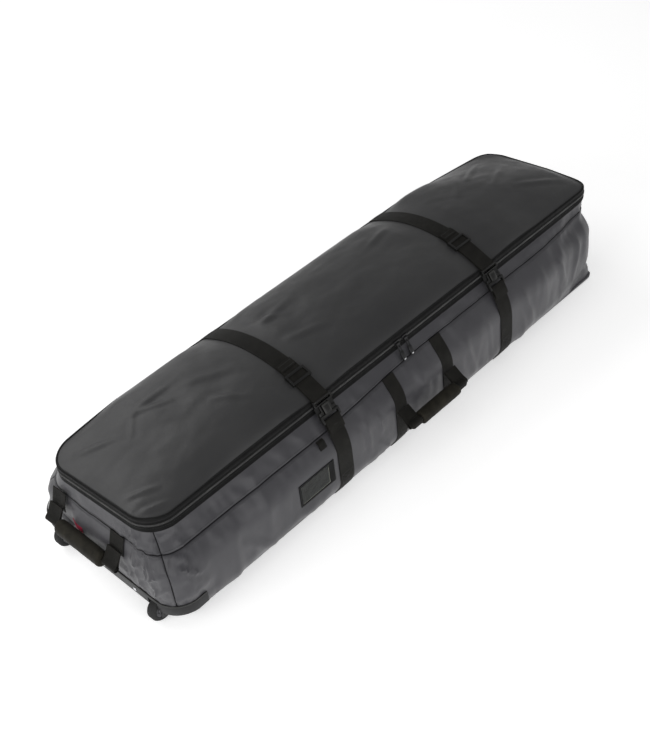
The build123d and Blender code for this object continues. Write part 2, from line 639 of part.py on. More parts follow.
def triglide(x, angle):
    """Three-bar slide on the doubled webbing, curved to the crown."""
    half_turn = degrees(TRIGLIDE_LENGTH / 2 / CROWN_RADIUS)
    bar_turn = degrees(TRIGLIDE_BAR / CROWN_RADIUS)
    start, end = angle - half_turn, angle + half_turn
    slot = WEBBING_WIDTH + 2
    side = (BUCKLE_WIDTH + 2 - slot) / 2
    top = layer_two[1] + TRIGLIDE_GAP
    pieces = []
    for direction in (-1, 1):
        middle = x + direction * (slot + side) / 2
        pieces.append(crown_band(WEBBING_CLEARANCE, top + TRIGLIDE_WALL, start, end, side, middle))
    for bar_start in (start, end - bar_turn):
        pieces.append(crown_band(top, top + TRIGLIDE_WALL, bar_start, bar_start + bar_turn,
                                 slot + side, x))
    bar_start = angle - bar_turn / 2
    pieces.append(crown_band(layer_one[1] + TRIGLIDE_GAP, layer_two[0] - TRIGLIDE_GAP, bar_start,
                             bar_start + bar_turn, slot + side, x))
    whole = pieces[0]
    for piece in pieces[1:]:
        whole = whole + piece
    return whole


for label, x in STRAP_POSITIONS.items():
    angle = degrees(asin(STRAP_ADJUSTER_REACH[label] / CROWN_RADIUS))
    tail_angle = angle - degrees(STRAP_TAIL / CROWN_RADIUS)
    save(label + "_strap_lid_webbing", upper_webbing(x, tail_angle))
    save(label + "_strap_wall_webbing", lower_webbing(x))
    save(label + "_strap_male_buckle", male_buckle(x))
    save(label + "_strap_female_buckle", female_buckle(x))
    save(label + "_strap_left_latch", latch_arm(x, 1))
    save(label + "_strap_right_latch", latch_arm(x, -1))
    save(label + "_strap_triglide", triglide(x, angle))

# ================================================================ carry handle
belly_face = -BELLY_WIDTH / 2
gusset_slope = (BELLY_WIDTH - LID_WIDTH) / 2 / (GUSSET_TOP - BELLY_HIGH)
seam_point = (belly_face + gusset_slope * (SEAM_HEIGHT - BELLY_HIGH), SEAM_HEIGHT)
carry_path = offset_path([seam_point] + front_wall_line, -WEBBING_MIDDLE_GAP)
half_band = CARRY_WEBBING_WIDTH / 2
carry_webbings = []
for x in CARRY_WEBBING_POSITIONS:
    carry_webbings.append(across(ribbon(carry_path, WEBBING), x - half_band, x + half_band))
save("carry_webbings", carry_webbings)

carry_hinge_y = belly_face - WEBBING_CLEARANCE - WEBBING - HANDLE_CLEARANCE
grip_y = carry_hinge_y - CARRY_REACH
grip_z = CARRY_HINGE_HEIGHT - CARRY_DROP
drop_path = [
    (carry_hinge_y, CARRY_HINGE_HEIGHT),
    (carry_hinge_y - CARRY_REACH * 0.55, CARRY_HINGE_HEIGHT - CARRY_DROP * 0.3),
    (grip_y, grip_z),
]
carry_span = (CARRY_WEBBING_POSITIONS[0] - half_band, CARRY_WEBBING_POSITIONS[1] + half_band)
carry = block(carry_span, (grip_y - GRIP_CORE, grip_y + GRIP_CORE),
              (grip_z - GRIP_CORE, grip_z + GRIP_CORE))
for x in CARRY_WEBBING_POSITIONS:
    carry = carry + across(ribbon(drop_path, HANDLE_WEBBING), x - half_band, x + half_band)
save("carry_handle", carry)


def grip(length, thickness, width):
    """Padded sleeve along X round the square core."""
    body = Rot(0, 90, 0) * extrude(Pos(0, 0, -length / 2) * Ellipse(width / 2, thickness / 2), length)
    hole = Box(length + 2, 2 * GRIP_CORE, 2 * GRIP_CORE)
    return body - hole


carry_middle = sum(CARRY_WEBBING_POSITIONS) / 2
carry_grip = grip(CARRY_GRIP_LENGTH, 2 * GRIP_RADIUS, 2 * GRIP_RADIUS)
save("carry_grip", Pos(carry_middle, grip_y, grip_z) * carry_grip)


# ================================================================ end handles
def end_handle(spacing, centre, face, direction, reach, drop):
    """Webbing handle that hangs on an end wall, direction -1 at the wheel end."""
    half_w = END_HANDLE_WEBBING / 2
    hinge_x = face + direction * (WEBBING_CLEARANCE + WEBBING + HANDLE_CLEARANCE)
    low = (hinge_x + direction * reach, END_HINGE_HEIGHT - drop)
    pieces = []
    for side in (-1, 1):
        middle = centre + side * spacing / 2
        path = [(hinge_x, END_HINGE_HEIGHT), low]
        face_xz = make_face(Plane.XZ * Polyline(*ribbon(path, HANDLE_WEBBING), close=True))
        strip = extrude(face_xz, END_HANDLE_WEBBING, dir=(0, 1, 0))
        pieces.append(Pos(0, middle - half_w, 0) * strip)
    span = (centre - spacing / 2 - half_w, centre + spacing / 2 + half_w)
    bar = block((low[0] - GRIP_CORE, low[0] + GRIP_CORE), span,
                (low[1] - GRIP_CORE, low[1] + GRIP_CORE))
    return pieces[0] + pieces[1] + bar, low


def anchor_tabs(spacing, centre, face, direction):
    """Sewn tabs from the seam down to an end handle."""
    tabs = []
    gap = WEBBING_CLEARANCE + WEBBING / 2
    bulge = abs(face) - HALF_LENGTH
    seam_x = face - direction * bulge * (SEAM_HEIGHT - BELLY_HIGH) / (GUSSET_TOP - BELLY_HIGH)
    path = [(seam_x + direction * gap, SEAM_HEIGHT), (face + direction * gap, BELLY_HIGH),
            (face + direction * gap, END_HINGE_HEIGHT - ANCHOR_TAIL)]
    for side in (-1, 1):
        middle = centre + side * spacing / 2
        outline = make_face(Plane.XZ * Polyline(*ribbon(path, WEBBING), close=True))
        tab = extrude(outline, END_HANDLE_WEBBING, dir=(0, 1, 0))
        tabs.append(Pos(0, middle - END_HANDLE_WEBBING / 2, 0) * tab)
    return tabs


wheel_face = -HALF_LENGTH - WHEEL_END_BULGE
head_face = HALF_LENGTH + HEAD_END_BULGE
wheel_handle, wheel_low = end_handle(END_HANDLE_SPACING, END_HANDLE_CENTRE, wheel_face, -1,
                                     END_REACH, END_DROP)
save("wheel_end_handle", wheel_handle)
wheel_grip = Rot(0, 0, 90) * grip(END_GRIP_LENGTH, 2 * GRIP_RADIUS,
                                  2 * GRIP_WIDENING * GRIP_RADIUS)
save("wheel_end_grip", Pos(wheel_low[0], END_HANDLE_CENTRE, wheel_low[1]) * wheel_grip)
head_handle, head_low = end_handle(HEAD_HANDLE_SPACING, 0, head_face, 1, END_REACH, END_DROP)
save("head_end_handle", head_handle)
save("handle_anchors", anchor_tabs(END_HANDLE_SPACING, END_HANDLE_CENTRE, wheel_face, -1)
     + anchor_tabs(HEAD_HANDLE_SPACING, 0, head_face, 1))

# ================================================================ card window
window_x, window_z = WINDOW_CENTRE
frame_x = (window_x - CARD_LENGTH / 2 - WINDOW_BORDER, window_x + CARD_LENGTH / 2 + WINDOW_TAB)
frame_z = (window_z - CARD_HEIGHT / 2 - WINDOW_BORDER, window_z + CARD_HEIGHT / 2 + WINDOW_BORDER)
card_x = (window_x - CARD_LENGTH / 2, window_x + CARD_LENGTH / 2)
card_z = (window_z - CARD_HEIGHT / 2, window_z + CARD_HEIGHT / 2)
card_face = belly_face - CARD_THICKNESS
pane_face = card_face - PANE_THICKNESS
border = block(frame_x, (belly_face - BORDER_THICKNESS, belly_face), frame_z)
border = border - block(card_x, (belly_face - 10, belly_face), card_z)
save("card_window_frame", border)
save("card", block(card_x, (card_face, belly_face), card_z))
save("card_window_pane", block(card_x, (pane_face, card_face), card_z))
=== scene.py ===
# %% [markdown]
# A padded snowboard bag with a lid that opens all round, two straps, three
# handles and a pair of wheels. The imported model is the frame: it gives every
# place and every body that moves. This lesson dresses it in cloth, webbing,
# coil zip and moulded plastic. Lengths are in metres.

import json
from math import asin, cos, hypot, pi, radians, sin

import bpy
import numpy as np
from mathutils import Matrix, Vector, noise

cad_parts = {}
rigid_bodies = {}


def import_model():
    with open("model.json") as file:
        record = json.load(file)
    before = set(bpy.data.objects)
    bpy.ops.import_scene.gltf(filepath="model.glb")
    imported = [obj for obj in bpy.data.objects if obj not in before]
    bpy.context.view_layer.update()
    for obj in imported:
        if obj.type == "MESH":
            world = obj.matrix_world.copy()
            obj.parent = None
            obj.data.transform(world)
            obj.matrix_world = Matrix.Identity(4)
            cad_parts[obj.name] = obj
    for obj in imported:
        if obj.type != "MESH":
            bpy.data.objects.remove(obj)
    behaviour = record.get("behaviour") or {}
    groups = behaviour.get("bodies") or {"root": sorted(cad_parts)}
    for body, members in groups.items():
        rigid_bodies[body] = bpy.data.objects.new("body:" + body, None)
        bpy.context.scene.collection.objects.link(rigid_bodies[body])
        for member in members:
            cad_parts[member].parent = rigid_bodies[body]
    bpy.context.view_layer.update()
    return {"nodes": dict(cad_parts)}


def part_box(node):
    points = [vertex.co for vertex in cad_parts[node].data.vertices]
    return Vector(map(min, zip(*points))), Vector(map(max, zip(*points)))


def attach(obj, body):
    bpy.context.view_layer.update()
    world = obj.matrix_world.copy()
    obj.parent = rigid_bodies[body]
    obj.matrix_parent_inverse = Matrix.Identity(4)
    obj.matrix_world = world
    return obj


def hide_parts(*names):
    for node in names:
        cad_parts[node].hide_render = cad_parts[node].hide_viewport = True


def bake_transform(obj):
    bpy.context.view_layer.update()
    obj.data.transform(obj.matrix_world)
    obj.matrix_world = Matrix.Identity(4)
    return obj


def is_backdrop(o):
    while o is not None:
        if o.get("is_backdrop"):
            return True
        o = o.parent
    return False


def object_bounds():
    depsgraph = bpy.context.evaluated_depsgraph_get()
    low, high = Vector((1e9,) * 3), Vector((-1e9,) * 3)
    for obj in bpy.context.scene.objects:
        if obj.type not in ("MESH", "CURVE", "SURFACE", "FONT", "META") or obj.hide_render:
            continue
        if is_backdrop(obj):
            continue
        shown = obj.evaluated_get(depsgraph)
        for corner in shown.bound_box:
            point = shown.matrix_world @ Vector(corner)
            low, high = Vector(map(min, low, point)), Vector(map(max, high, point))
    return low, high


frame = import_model()

# %% [markdown]
# The camera stands in front of the wheel end, about forty degrees up, and is
# rolled a little so that the long bag fits a tall picture. It is placed by an
# azimuth, an elevation and a distance round a target, as on a turntable.

# %% Camera
TARGET = Vector((0, 0, 0.1))
AZIMUTH, ELEVATION, ROLL = radians(-41.34), radians(41.04), radians(-7.69)
DISTANCE, SHIFT_RIGHT, SHIFT_UP = 3.105, -0.060, -0.036
back = Vector((sin(AZIMUTH) * cos(ELEVATION), -cos(AZIMUTH) * cos(ELEVATION), sin(ELEVATION)))
right = Vector((0, 0, 1)).cross(back).normalized()
up = back.cross(right)
rolled_right = right * cos(ROLL) + up * sin(ROLL)
rolled_up = up * cos(ROLL) - right * sin(ROLL)
camera_data = bpy.data.cameras.new("camera")
camera_data.sensor_width = 36
camera_data.lens = 58.3
camera = bpy.data.objects.new("camera", camera_data)
bpy.context.scene.collection.objects.link(camera)
place = TARGET + rolled_right * SHIFT_RIGHT + rolled_up * SHIFT_UP + back * DISTANCE
turn = Matrix((rolled_right, rolled_up, back)).transposed().to_4x4()
camera.matrix_world = Matrix.Translation(place) @ turn
bpy.context.scene.camera = camera
bpy.context.scene.view_settings.view_transform = "Standard"
print("camera at", [round(v, 3) for v in place])

# %% [markdown]
# Coated cloth shows its folds by broad soft reflections, so the light comes
# from large panels: one high at the back left, one wide and low in front, and
# an even pale sky that also whitens the floor.

# %% Floor and light


def deselect():
    """Leave nothing selected and no mesh in edit mode."""
    if bpy.context.object is not None and bpy.context.object.mode != "OBJECT":
        bpy.ops.object.mode_set(mode="OBJECT")
    bpy.ops.object.select_all(action="DESELECT")


def make_active(piece):
    deselect()
    piece.select_set(True)
    bpy.context.view_layer.objects.active = piece


def named(name):
    """Give the object just added, and its mesh, a name."""
    piece = bpy.context.object
    piece.name = name
    piece.data.name = name
    return piece


def panel_light(name, spot, size, power, aim=(0, 0, 0.15)):
    """A rectangular soft light that faces a point."""
    deselect()
    bpy.ops.object.light_add(type="AREA", location=spot)
    lamp = named(name)
    lamp.data.shape = "RECTANGLE"
    lamp.data.size, lamp.data.size_y = size
    lamp.data.energy = power
    direction = Vector(aim) - Vector(spot)
    lamp.rotation_mode = "QUATERNION"
    lamp.rotation_quaternion = direction.to_track_quat("-Z", "Y")
    return lamp


panel_light("rear_panel", (-0.6, 2.6, 2.4), (3.4, 1.6), 40)
panel_light("front_panel", (-1.2, -3.2, 1.3), (3.2, 1.6), 44)
panel_light("wheel_end_panel", (-3.0, -0.2, 1.6), (1.8, 1.6), 30)
world = bpy.data.worlds.new("studio")
world.use_nodes = True
world.node_tree.nodes["Background"].inputs["Color"].default_value = (1, 1, 1, 1)
world.node_tree.nodes["Background"].inputs["Strength"].default_value = 0.42
bpy.context.scene.world = world
deselect()
bpy.ops.mesh.primitive_plane_add(size=40, location=(0, 0, 0))
floor = named("floor")
floor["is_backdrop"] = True
print("lights and floor made")

# %% [markdown]
# Finishes. A few kinds cover the whole bag: coated cloth with a fine weave
# under a satin coat, ribbed webbing, moulded plastic with a fine grain,
# rubber, metal, and the card behind its clear film. Each is a node tree that
# reads Object coordinates, or the piece's own UV map where a weave follows it.

# %% Shared helpers for finishes


def new_material(name, colour, roughness, **sockets):
    """A principled material; sockets are named with underscores for spaces."""
    material = bpy.data.materials.new(name)
    material.use_nodes = True
    shader = material.node_tree.nodes["Principled BSDF"]
    shader.inputs["Base Color"].default_value = (*colour, 1)
    shader.inputs["Roughness"].default_value = roughness
    for socket, value in sockets.items():
        shader.inputs[socket.replace("_", " ")].default_value = value
    return material


def add_node(material, kind, settings=None, **inputs):
    """A node with its settings and the values of its named inputs."""
    node = material.node_tree.nodes.new(kind)
    for key, value in (settings or {}).items():
        setattr(node, key, value)
    for key, value in inputs.items():
        node.inputs[key.replace("_", " ")].default_value = value
    return node


def wire(material, source, target):
    """Join an (output node, socket) to an (input node, socket)."""
    tree = material.node_tree
    tree.links.new(source[0].outputs[source[1]], target[0].inputs[target[1]])


def shader_of(material):
    return material.node_tree.nodes["Principled BSDF"]


def mottle(material, scale, low, high, socket="Base Color", detail=4.0):
    """Slow noise between two colours, or two greys for a number, into a socket."""
    where = add_node(material, "ShaderNodeTexCoord")
    cloud = add_node(material, "ShaderNodeTexNoise", Scale=scale, Detail=detail)
    ramp = add_node(material, "ShaderNodeValToRGB")
    ramp.color_ramp.elements[0].position = 0.32
    ramp.color_ramp.elements[1].position = 0.68
    ramp.color_ramp.elements[0].color = (*low, 1)
    ramp.color_ramp.elements[1].color = (*high, 1)
    wire(material, (where, "Object"), (cloud, "Vector"))
    wire(material, (cloud, "Fac"), (ramp, "Fac"))
    wire(material, (ramp, "Color"), (shader_of(material), socket))


def add_bump(material, height, strength, distance):
    """Put one more layer of bump under the ones that are there."""
    shader = shader_of(material)
    bump = add_node(material, "ShaderNodeBump", Strength=strength, Distance=distance)
    wire(material, height, (bump, "Height"))
    links = shader.inputs["Normal"].links
    if links:
        earlier = (links[0].from_node, "Normal")
        wire(material, earlier, (bump, "Normal"))
    wire(material, (bump, "Normal"), (shader, "Normal"))


def grain(material, scale, strength, distance, detail=3.0):
    """Fine noise as bump, on Object coordinates."""
    where = add_node(material, "ShaderNodeTexCoord")
    cloud = add_node(material, "ShaderNodeTexNoise", Scale=scale, Detail=detail)
    wire(material, (where, "Object"), (cloud, "Vector"))
    add_bump(material, (cloud, "Fac"), strength, distance)


def weave(material, across, along, strength, distance):
    """Crossed threads on the UV map, which is in metres; counts are per metre."""
    where = add_node(material, "ShaderNodeTexCoord")
    threads = []
    for axis, count in (("X", along), ("Y", across)):
        wave = add_node(material, "ShaderNodeTexWave",
                        {"bands_direction": axis, "wave_profile": "SIN"},
                        Scale=count / 3.18, Distortion=0.25, Detail=1.0)
        wire(material, (where, "UV"), (wave, "Vector"))
        threads.append(wave)
    both = add_node(material, "ShaderNodeMath", {"operation": "MULTIPLY"})
    wire(material, (threads[0], "Fac"), (both, 0))
    wire(material, (threads[1], "Fac"), (both, 1))
    add_bump(material, (both, "Value"), strength, distance)


# %% [markdown]
# The coated cloth is charcoal with a satin coat. Two clouds, one broad and
# one small, keep its colour and its gloss from being even, and a light crackle
# stands for the crumples too small to model.

# %% Cloth and webbing finishes


def coated_cloth(name, low, high, roughness_low, roughness_high):
    material = new_material(name, low, 0.5, Specular_IOR_Level=0.42, Sheen_Weight=0.05,
                            Sheen_Roughness=0.5)
    mottle(material, 3.2, low, high, detail=6.0)
    mottle(material, 9.0, (roughness_low,) * 3, (roughness_high,) * 3, "Roughness")
    weave(material, 900, 900, 0.30, 0.00025)
    grain(material, 16.0, 0.22, 0.004, detail=5.0)
    grain(material, 90.0, 0.10, 0.001)
    return material


def woven(name, colour, light, roughness, across, along, strength=0.6):
    material = new_material(name, colour, roughness, Specular_IOR_Level=0.14,
                            Sheen_Weight=0.03, Sheen_Roughness=0.4)
    mottle(material, 40.0, colour, light)
    weave(material, across, along, strength, 0.0005)
    return material


# Lid and walls are one coated cloth in two copies: the lid's is painted darker as painted shade, the walls'
# lighter as painted sheen, for how the light falls on each.
lid_cloth = coated_cloth("lid_cloth", (0.017, 0.017, 0.018), (0.028, 0.028, 0.0285), 0.38, 0.50)
wall_cloth = coated_cloth("wall_cloth", (0.030, 0.0295, 0.034), (0.047, 0.046, 0.051), 0.34, 0.48)
lining_cloth = woven("lining_cloth", (0.05, 0.05, 0.055), (0.07, 0.07, 0.075), 0.6, 1500, 1500, 0.3)
webbing_cloth = woven("webbing_cloth", (0.0055, 0.0052, 0.0042), (0.010, 0.0095, 0.0078), 0.7, 420, 900)
tape_cloth = woven("tape_cloth", (0.0030, 0.0030, 0.0030), (0.0055, 0.0055, 0.0055), 0.7, 1300, 1500, 0.4)
grip_cloth = woven("grip_cloth", (0.0080, 0.0072, 0.0050), (0.019, 0.017, 0.012), 0.7, 700, 700)
label_cloth = woven("label_cloth", (0.26, 0.006, 0.030), (0.36, 0.015, 0.045), 0.6, 1500, 900)
thread = new_material("thread", (0.018, 0.018, 0.018), 0.55)
grain(thread, 900.0, 0.4, 0.0003)
print("cloth finishes made")

# %% Plastic, rubber, metal, foam and card finishes


def moulded(name, low, high, roughness, grain_strength=0.25):
    material = new_material(name, low, roughness, Specular_IOR_Level=0.3)
    mottle(material, 30.0, low, high)
    grain(material, 1400.0, grain_strength, 0.0002)
    return material


def metal(name, colour, roughness):
    material = new_material(name, colour, roughness, Metallic=1.0)
    mottle(material, 60.0, [c * 0.85 for c in colour], colour)
    grain(material, 700.0, 0.12, 0.0002)
    return material


buckle_plastic = moulded("buckle_plastic", (0.0045, 0.0045, 0.0045), (0.009, 0.009, 0.0085), 0.32)
buckle_grey = moulded("buckle_grey", (0.020, 0.020, 0.019), (0.030, 0.030, 0.028), 0.38)
tray_plastic = moulded("tray_plastic", (0.010, 0.010, 0.0105), (0.018, 0.018, 0.019), 0.46, 0.5)
board_plastic = moulded("board_plastic", (0.05, 0.05, 0.05), (0.07, 0.07, 0.07), 0.55, 0.5)
hub_plastic = moulded("hub_plastic", (0.045, 0.045, 0.048), (0.065, 0.065, 0.070), 0.42)
# The coil is dark grey nylon; its colour is painted lighter as a painted highlight along the zip.
coil_plastic = moulded("coil_plastic", (0.060, 0.060, 0.060), (0.10, 0.10, 0.098), 0.30)
tyre_rubber = moulded("tyre_rubber", (0.009, 0.009, 0.009), (0.018, 0.018, 0.018), 0.72, 0.6)
foam_skin = moulded("foam_skin", (0.10, 0.10, 0.105), (0.15, 0.15, 0.155), 0.9, 0.8)
dark_metal = metal("dark_metal", (0.045, 0.045, 0.046), 0.34)
bright_steel = metal("bright_steel", (0.62, 0.62, 0.64), 0.26)
card_paper = moulded("card_paper", (0.66, 0.67, 0.55), (0.74, 0.75, 0.63), 0.6, 0.3)
clear_film = new_material("clear_film", (0.9, 0.92, 0.9), 0.2, Alpha=0.05,
                          Specular_IOR_Level=0.6)
grain(clear_film, 40.0, 0.05, 0.001)
floor_paint = new_material("floor_paint", (0.86, 0.86, 0.86), 0.7, Emission_Strength=0.46,
                           Emission_Color=(1, 1, 1, 1), Specular_IOR_Level=0.1)
mottle(floor_paint, 1.5, (0.855, 0.855, 0.855), (0.87, 0.87, 0.87))
floor.data.materials.append(floor_paint)
print("finishes made:", len(bpy.data.materials))

# %% [markdown]
# Every cloth panel of the bag is a grid whose points are put on the bag's
# form, as a panel cut flat is sewn round the foam. The form is a rounded
# rectangle at each height; its sizes come from the frame. A side runs from
# one corner seam to the next, through half of each corner's arc.

# %% Sizes read from the frame
tape_low, tape_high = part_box("lower_zip_tape")
upper_tape_low, upper_tape_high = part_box("upper_zip_tape")
lid_low, lid_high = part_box("lid_panel")
HALF_LENGTH = tape_high.x
HALF_WIDTH = tape_high.y
GUSSET_TOP = tape_low.z
ZIP_HEIGHT = (tape_high.z + upper_tape_low.z) / 2
LID_EDGE = upper_tape_high.z + 0.002
CROWN_RISE = lid_high.z - LID_EDGE
CROWN_RADIUS = (HALF_WIDTH**2 + CROWN_RISE**2) / (2 * CROWN_RISE)
CROWN_CENTRE = LID_EDGE + CROWN_RISE - CROWN_RADIUS
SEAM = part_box("front_gusset")[0].z
HINGE_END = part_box("rear_hinge_tape")[1].x
CLOTH = 0.0015
BELLY_LOW, BELLY_HIGH = 0.050, 0.172
base_half_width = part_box("base_panel")[1].y + CLOTH
belly_half_width = -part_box("front_wall")[0].y
wheel_reach = -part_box("wheel_end_wall")[0].x
head_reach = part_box("head_end_wall")[1].x
BASE_REACH = HALF_LENGTH - 0.013
HEIGHTS = (0.0, BELLY_LOW, BELLY_HIGH, GUSSET_TOP)
HALF_WIDTHS = (base_half_width, belly_half_width, belly_half_width, HALF_WIDTH)
WHEEL_REACHES = (BASE_REACH, wheel_reach, wheel_reach, HALF_LENGTH)
HEAD_REACHES = (BASE_REACH, head_reach, head_reach, HALF_LENGTH)
RADII = (0.040, 0.062, 0.062, 0.070)
CORNERS = ((-1, -1), (1, -1), (1, 1), (-1, 1))
SIDES = ("front", "head_end", "rear", "wheel_end")
CORNER_SHARE = (0.033, 0.118)
LONG_EDGE, SHORT_EDGE = 1.62, 0.49
TRAY_END, TRAY_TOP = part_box("wheel_tray")[1].x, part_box("wheel_tray")[1].z
FLOOR_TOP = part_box("base_foam")[1].z
FOAM, LINING = 0.006, 0.0008
strap_places = {}
for strap in ("wheel", "head"):
    strap_low, strap_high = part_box(strap + "_strap_female_buckle")
    strap_places[strap] = (strap_low.x + strap_high.x) / 2
print("half length", round(HALF_LENGTH, 4), "half width", round(HALF_WIDTH, 4), strap_places)

# %% The bag's form


def section(z, values):
    """Value at a height, with the profile's bends rounded."""
    spread = 0.016 * np.clip(np.minimum(z, GUSSET_TOP - z) / 0.03, 0, 1)
    steps = (-1, -0.5, 0, 0.5, 1)
    return sum(np.interp(z + step * spread, HEIGHTS, values) for step in steps) / len(steps)


def outline(side, share, z, inset=0.0):
    """Place on one side at a height, and the angle that it faces."""
    arc = CORNER_SHARE[side % 2]
    turned = np.clip(share / arc, 0, 1) + np.clip((share - 1 + arc) / arc, 0, 1)
    along = np.clip((share - arc) / (1 - 2 * arc), 0, 1)
    angle = np.radians(225 + 90 * side + 45 * turned)
    radius = section(z, RADII)
    centres = []
    for corner in (CORNERS[side], CORNERS[(side + 1) % 4]):
        reach = section(z, HEAD_REACHES if corner[0] > 0 else WHEEL_REACHES)
        centres.append((corner[0] * (reach - radius),
                        corner[1] * (section(z, HALF_WIDTHS) - radius)))
    x = centres[0][0] + (centres[1][0] - centres[0][0]) * along
    y = centres[0][1] + (centres[1][1] - centres[0][1]) * along
    square = ((side == 0) & (share > 0.5)) | ((side == 1) & (share < 0.5))
    power = np.where(square, 3.4, 2.0)
    reach = (np.abs(np.cos(angle)) ** power + np.abs(np.sin(angle)) ** power) ** (-1 / power)
    return (x + (radius * reach - inset) * np.cos(angle),
            y + (radius * reach - inset) * np.sin(angle), angle)


def outward(angle, z):
    """Unit normals of the form, tilted by its slope at a height."""
    step = 0.004
    ends = np.cos(angle) ** 2
    reaches = np.where(np.cos(angle)[..., None] > 0, np.array(HEAD_REACHES), np.array(WHEEL_REACHES))
    slope_ends = np.array([
        (section(h + step, r) - section(h - step, r)) / (2 * step) for h, r in zip(z, reaches)])
    slope_sides = (section(z + step, HALF_WIDTHS) - section(z - step, HALF_WIDTHS)) / (2 * step)
    slope = ends * slope_ends + (1 - ends) * slope_sides
    normal = np.stack([np.cos(angle), np.sin(angle), -slope], axis=1)
    return normal / np.linalg.norm(normal, axis=1)[:, None]


def crown(x, y):
    """Height of the lid: an arc under the straps, fuller between them, falling to the ends."""
    arc = np.sqrt(CROWN_RADIUS**2 - np.minimum(np.abs(y), HALF_WIDTH) ** 2) + CROWN_CENTRE - LID_EDGE
    full = CROWN_RISE * (1 - np.minimum(np.abs(y) / HALF_WIDTH, 1) ** 2.2) ** 0.62
    tied = np.zeros(len(x))
    for place_x in strap_places.values():
        tied = np.maximum(tied, near(x, place_x, 0.028, 0.085))
    free = (1 - tied) * np.clip((x + 0.66) / 0.08, 0, 1) * np.clip((0.58 - x) / 0.12, 0, 1)
    arc = arc + (full - arc) * free * free * (3 - 2 * free)
    fall = np.where(x < 0, 0.44, 0.30)
    share = np.clip((HALF_LENGTH - np.abs(x)) / fall, 0, 1)
    ease = 1 - (1 - share) ** 2.2
    corner = 0.070
    over = np.maximum(np.stack([np.abs(x) - HALF_LENGTH, np.abs(y) - HALF_WIDTH]) + corner, 0)
    inside = corner - np.hypot(*over)
    return LID_EDGE + arc * ease * (1 - np.exp(-np.maximum(inside, 0) / 0.004))


print("belly width", round(2 * float(section(np.array(0.11), HALF_WIDTHS)), 3))

# %% [markdown]
# Folds. Coated cloth over foam shows long soft swells, and sharper creases
# that start from seams, straps and corners. Swells are stretched noise.
# Creases are lines with a raised middle and a shallow valley each side.

# %% Swells, creases and where the cloth is held down


def cloud(points, size, seed, octaves=2):
    """Smooth noise, about -1 to 1, with a wavelength for each direction."""
    scaled = points / np.array(size) + seed * 7.3
    return np.array([noise.fractal(Vector(p), 0.8, 2.0, octaves) for p in scaled])


def crease(points, start, end, width, height):
    """A raised line that fades to both ends."""
    a, b = np.array(start, float), np.array(end, float)
    line = b - a
    share = np.clip((points - a) @ line / (line @ line), 0, 1)
    gap = np.linalg.norm(points - a - share[:, None] * line, axis=1) / width
    taper = np.sin(np.pi * np.clip(share * 0.86 + 0.07, 0, 1)) ** 0.7
    return height * taper * (1 - gap**2) * np.exp(-gap**2 / 1.5)


def near(values, middle, half, soft):
    """One inside a stretch, falling to zero over a soft edge."""
    return np.clip((half + soft - np.abs(values - middle)) / soft, 0, 1)


HELD_BOXES = {node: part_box(node) for node in (
    "carry_webbings", "card_window_frame", "handle_anchors", "wheel_tray")}


def held(points):
    """How firmly straps, handles and the window keep the cloth flat, 0 to 1."""
    x, y, z = points.T
    firm = np.zeros(len(points))
    for place_x in strap_places.values():
        firm = np.maximum(firm, near(x, place_x, 0.026, 0.05))
    front = (y < -0.15) & (z < 0.25)
    for node in ("carry_webbings", "card_window_frame"):
        low, high = HELD_BOXES[node]
        middle, half = (low.x + high.x) / 2, (high.x - low.x) / 2
        if node == "carry_webbings":
            for edge in (low.x + 0.019, high.x - 0.019):
                firm = np.maximum(firm, front * near(x, edge, 0.022, 0.03))
        else:
            firm = np.maximum(firm, front * near(x, middle, half, 0.03) * near(
                z, (low.z + high.z) / 2, (high.z - low.z) / 2, 0.03))
    ends = (np.abs(x) > 0.74) & (z < 0.25)
    low, high = HELD_BOXES["handle_anchors"]
    for edge in (low.y + 0.023, high.y - 0.023):
        firm = np.maximum(firm, ends * near(y, edge, 0.026, 0.03) * (z > 0.12))
    tray_low, tray_high = HELD_BOXES["wheel_tray"]
    firm = np.maximum(firm, (x < tray_high.x + 0.03) * np.clip(
        (tray_high.z + 0.03 - z) / 0.03, 0, 1) * (z < tray_high.z + 0.03))
    return firm


def settle(points):
    """How far the filled bag has sagged from its form, as a shift of each point."""
    x, y, z = points.T
    upper = np.clip((z - 0.14) / 0.12, 0, 1)
    belly = np.clip(z / 0.045, 0, 1) * np.clip((GUSSET_TOP - z) / 0.05, 0, 1)
    wheel = np.clip((-x - 0.56) / 0.20, 0, 1) ** 1.3 * np.clip((y + 0.12) / 0.26, 0, 1)
    head = np.clip((x - 0.42) / 0.30, 0, 1) ** 1.2 * np.clip((y + 0.05) / 0.20, 0, 1)
    nose = np.clip((x - 0.50) / 0.26, 0, 1) ** 1.4 * np.clip((-y - 0.06) / 0.12, 0, 1)
    heel = np.clip((-x - 0.62) / 0.15, 0, 1) * np.clip((y - 0.04) / 0.15, 0, 1)
    heel = heel * np.clip((z - 0.085) / 0.04, 0, 1)
    shift_x = belly * (0.010 * heel - 0.016 * nose * np.clip((x - 0.70) / 0.08, 0, 1))
    shift_y = belly * (0.040 * nose - 0.020 * heel) - 0.018 * head * upper
    shift_z = -upper * (0.012 * head + 0.020 * wheel)
    return np.stack([shift_x, shift_y, shift_z], axis=1)


def seam_rise(x):
    """The gusset's seam climbs a little towards the head end."""
    return 0.004 + 0.014 * np.clip((x + 0.30) / 0.30, 0, 1)


# %% [markdown]
# A panel starts as a flat grid with a UV map. Its points are put on the form
# one by one, which keeps the map in step with the cloth's own length and
# width, and the cloth then gets its thickness from a Solidify modifier.

# %% Helpers for cloth panels


def get_points(piece):
    points = np.zeros(len(piece.data.vertices) * 3)
    piece.data.vertices.foreach_get("co", points)
    return points.reshape(-1, 3)


def set_points(piece, points):
    piece.data.vertices.foreach_set("co", np.asarray(points, float).ravel())
    piece.data.update()


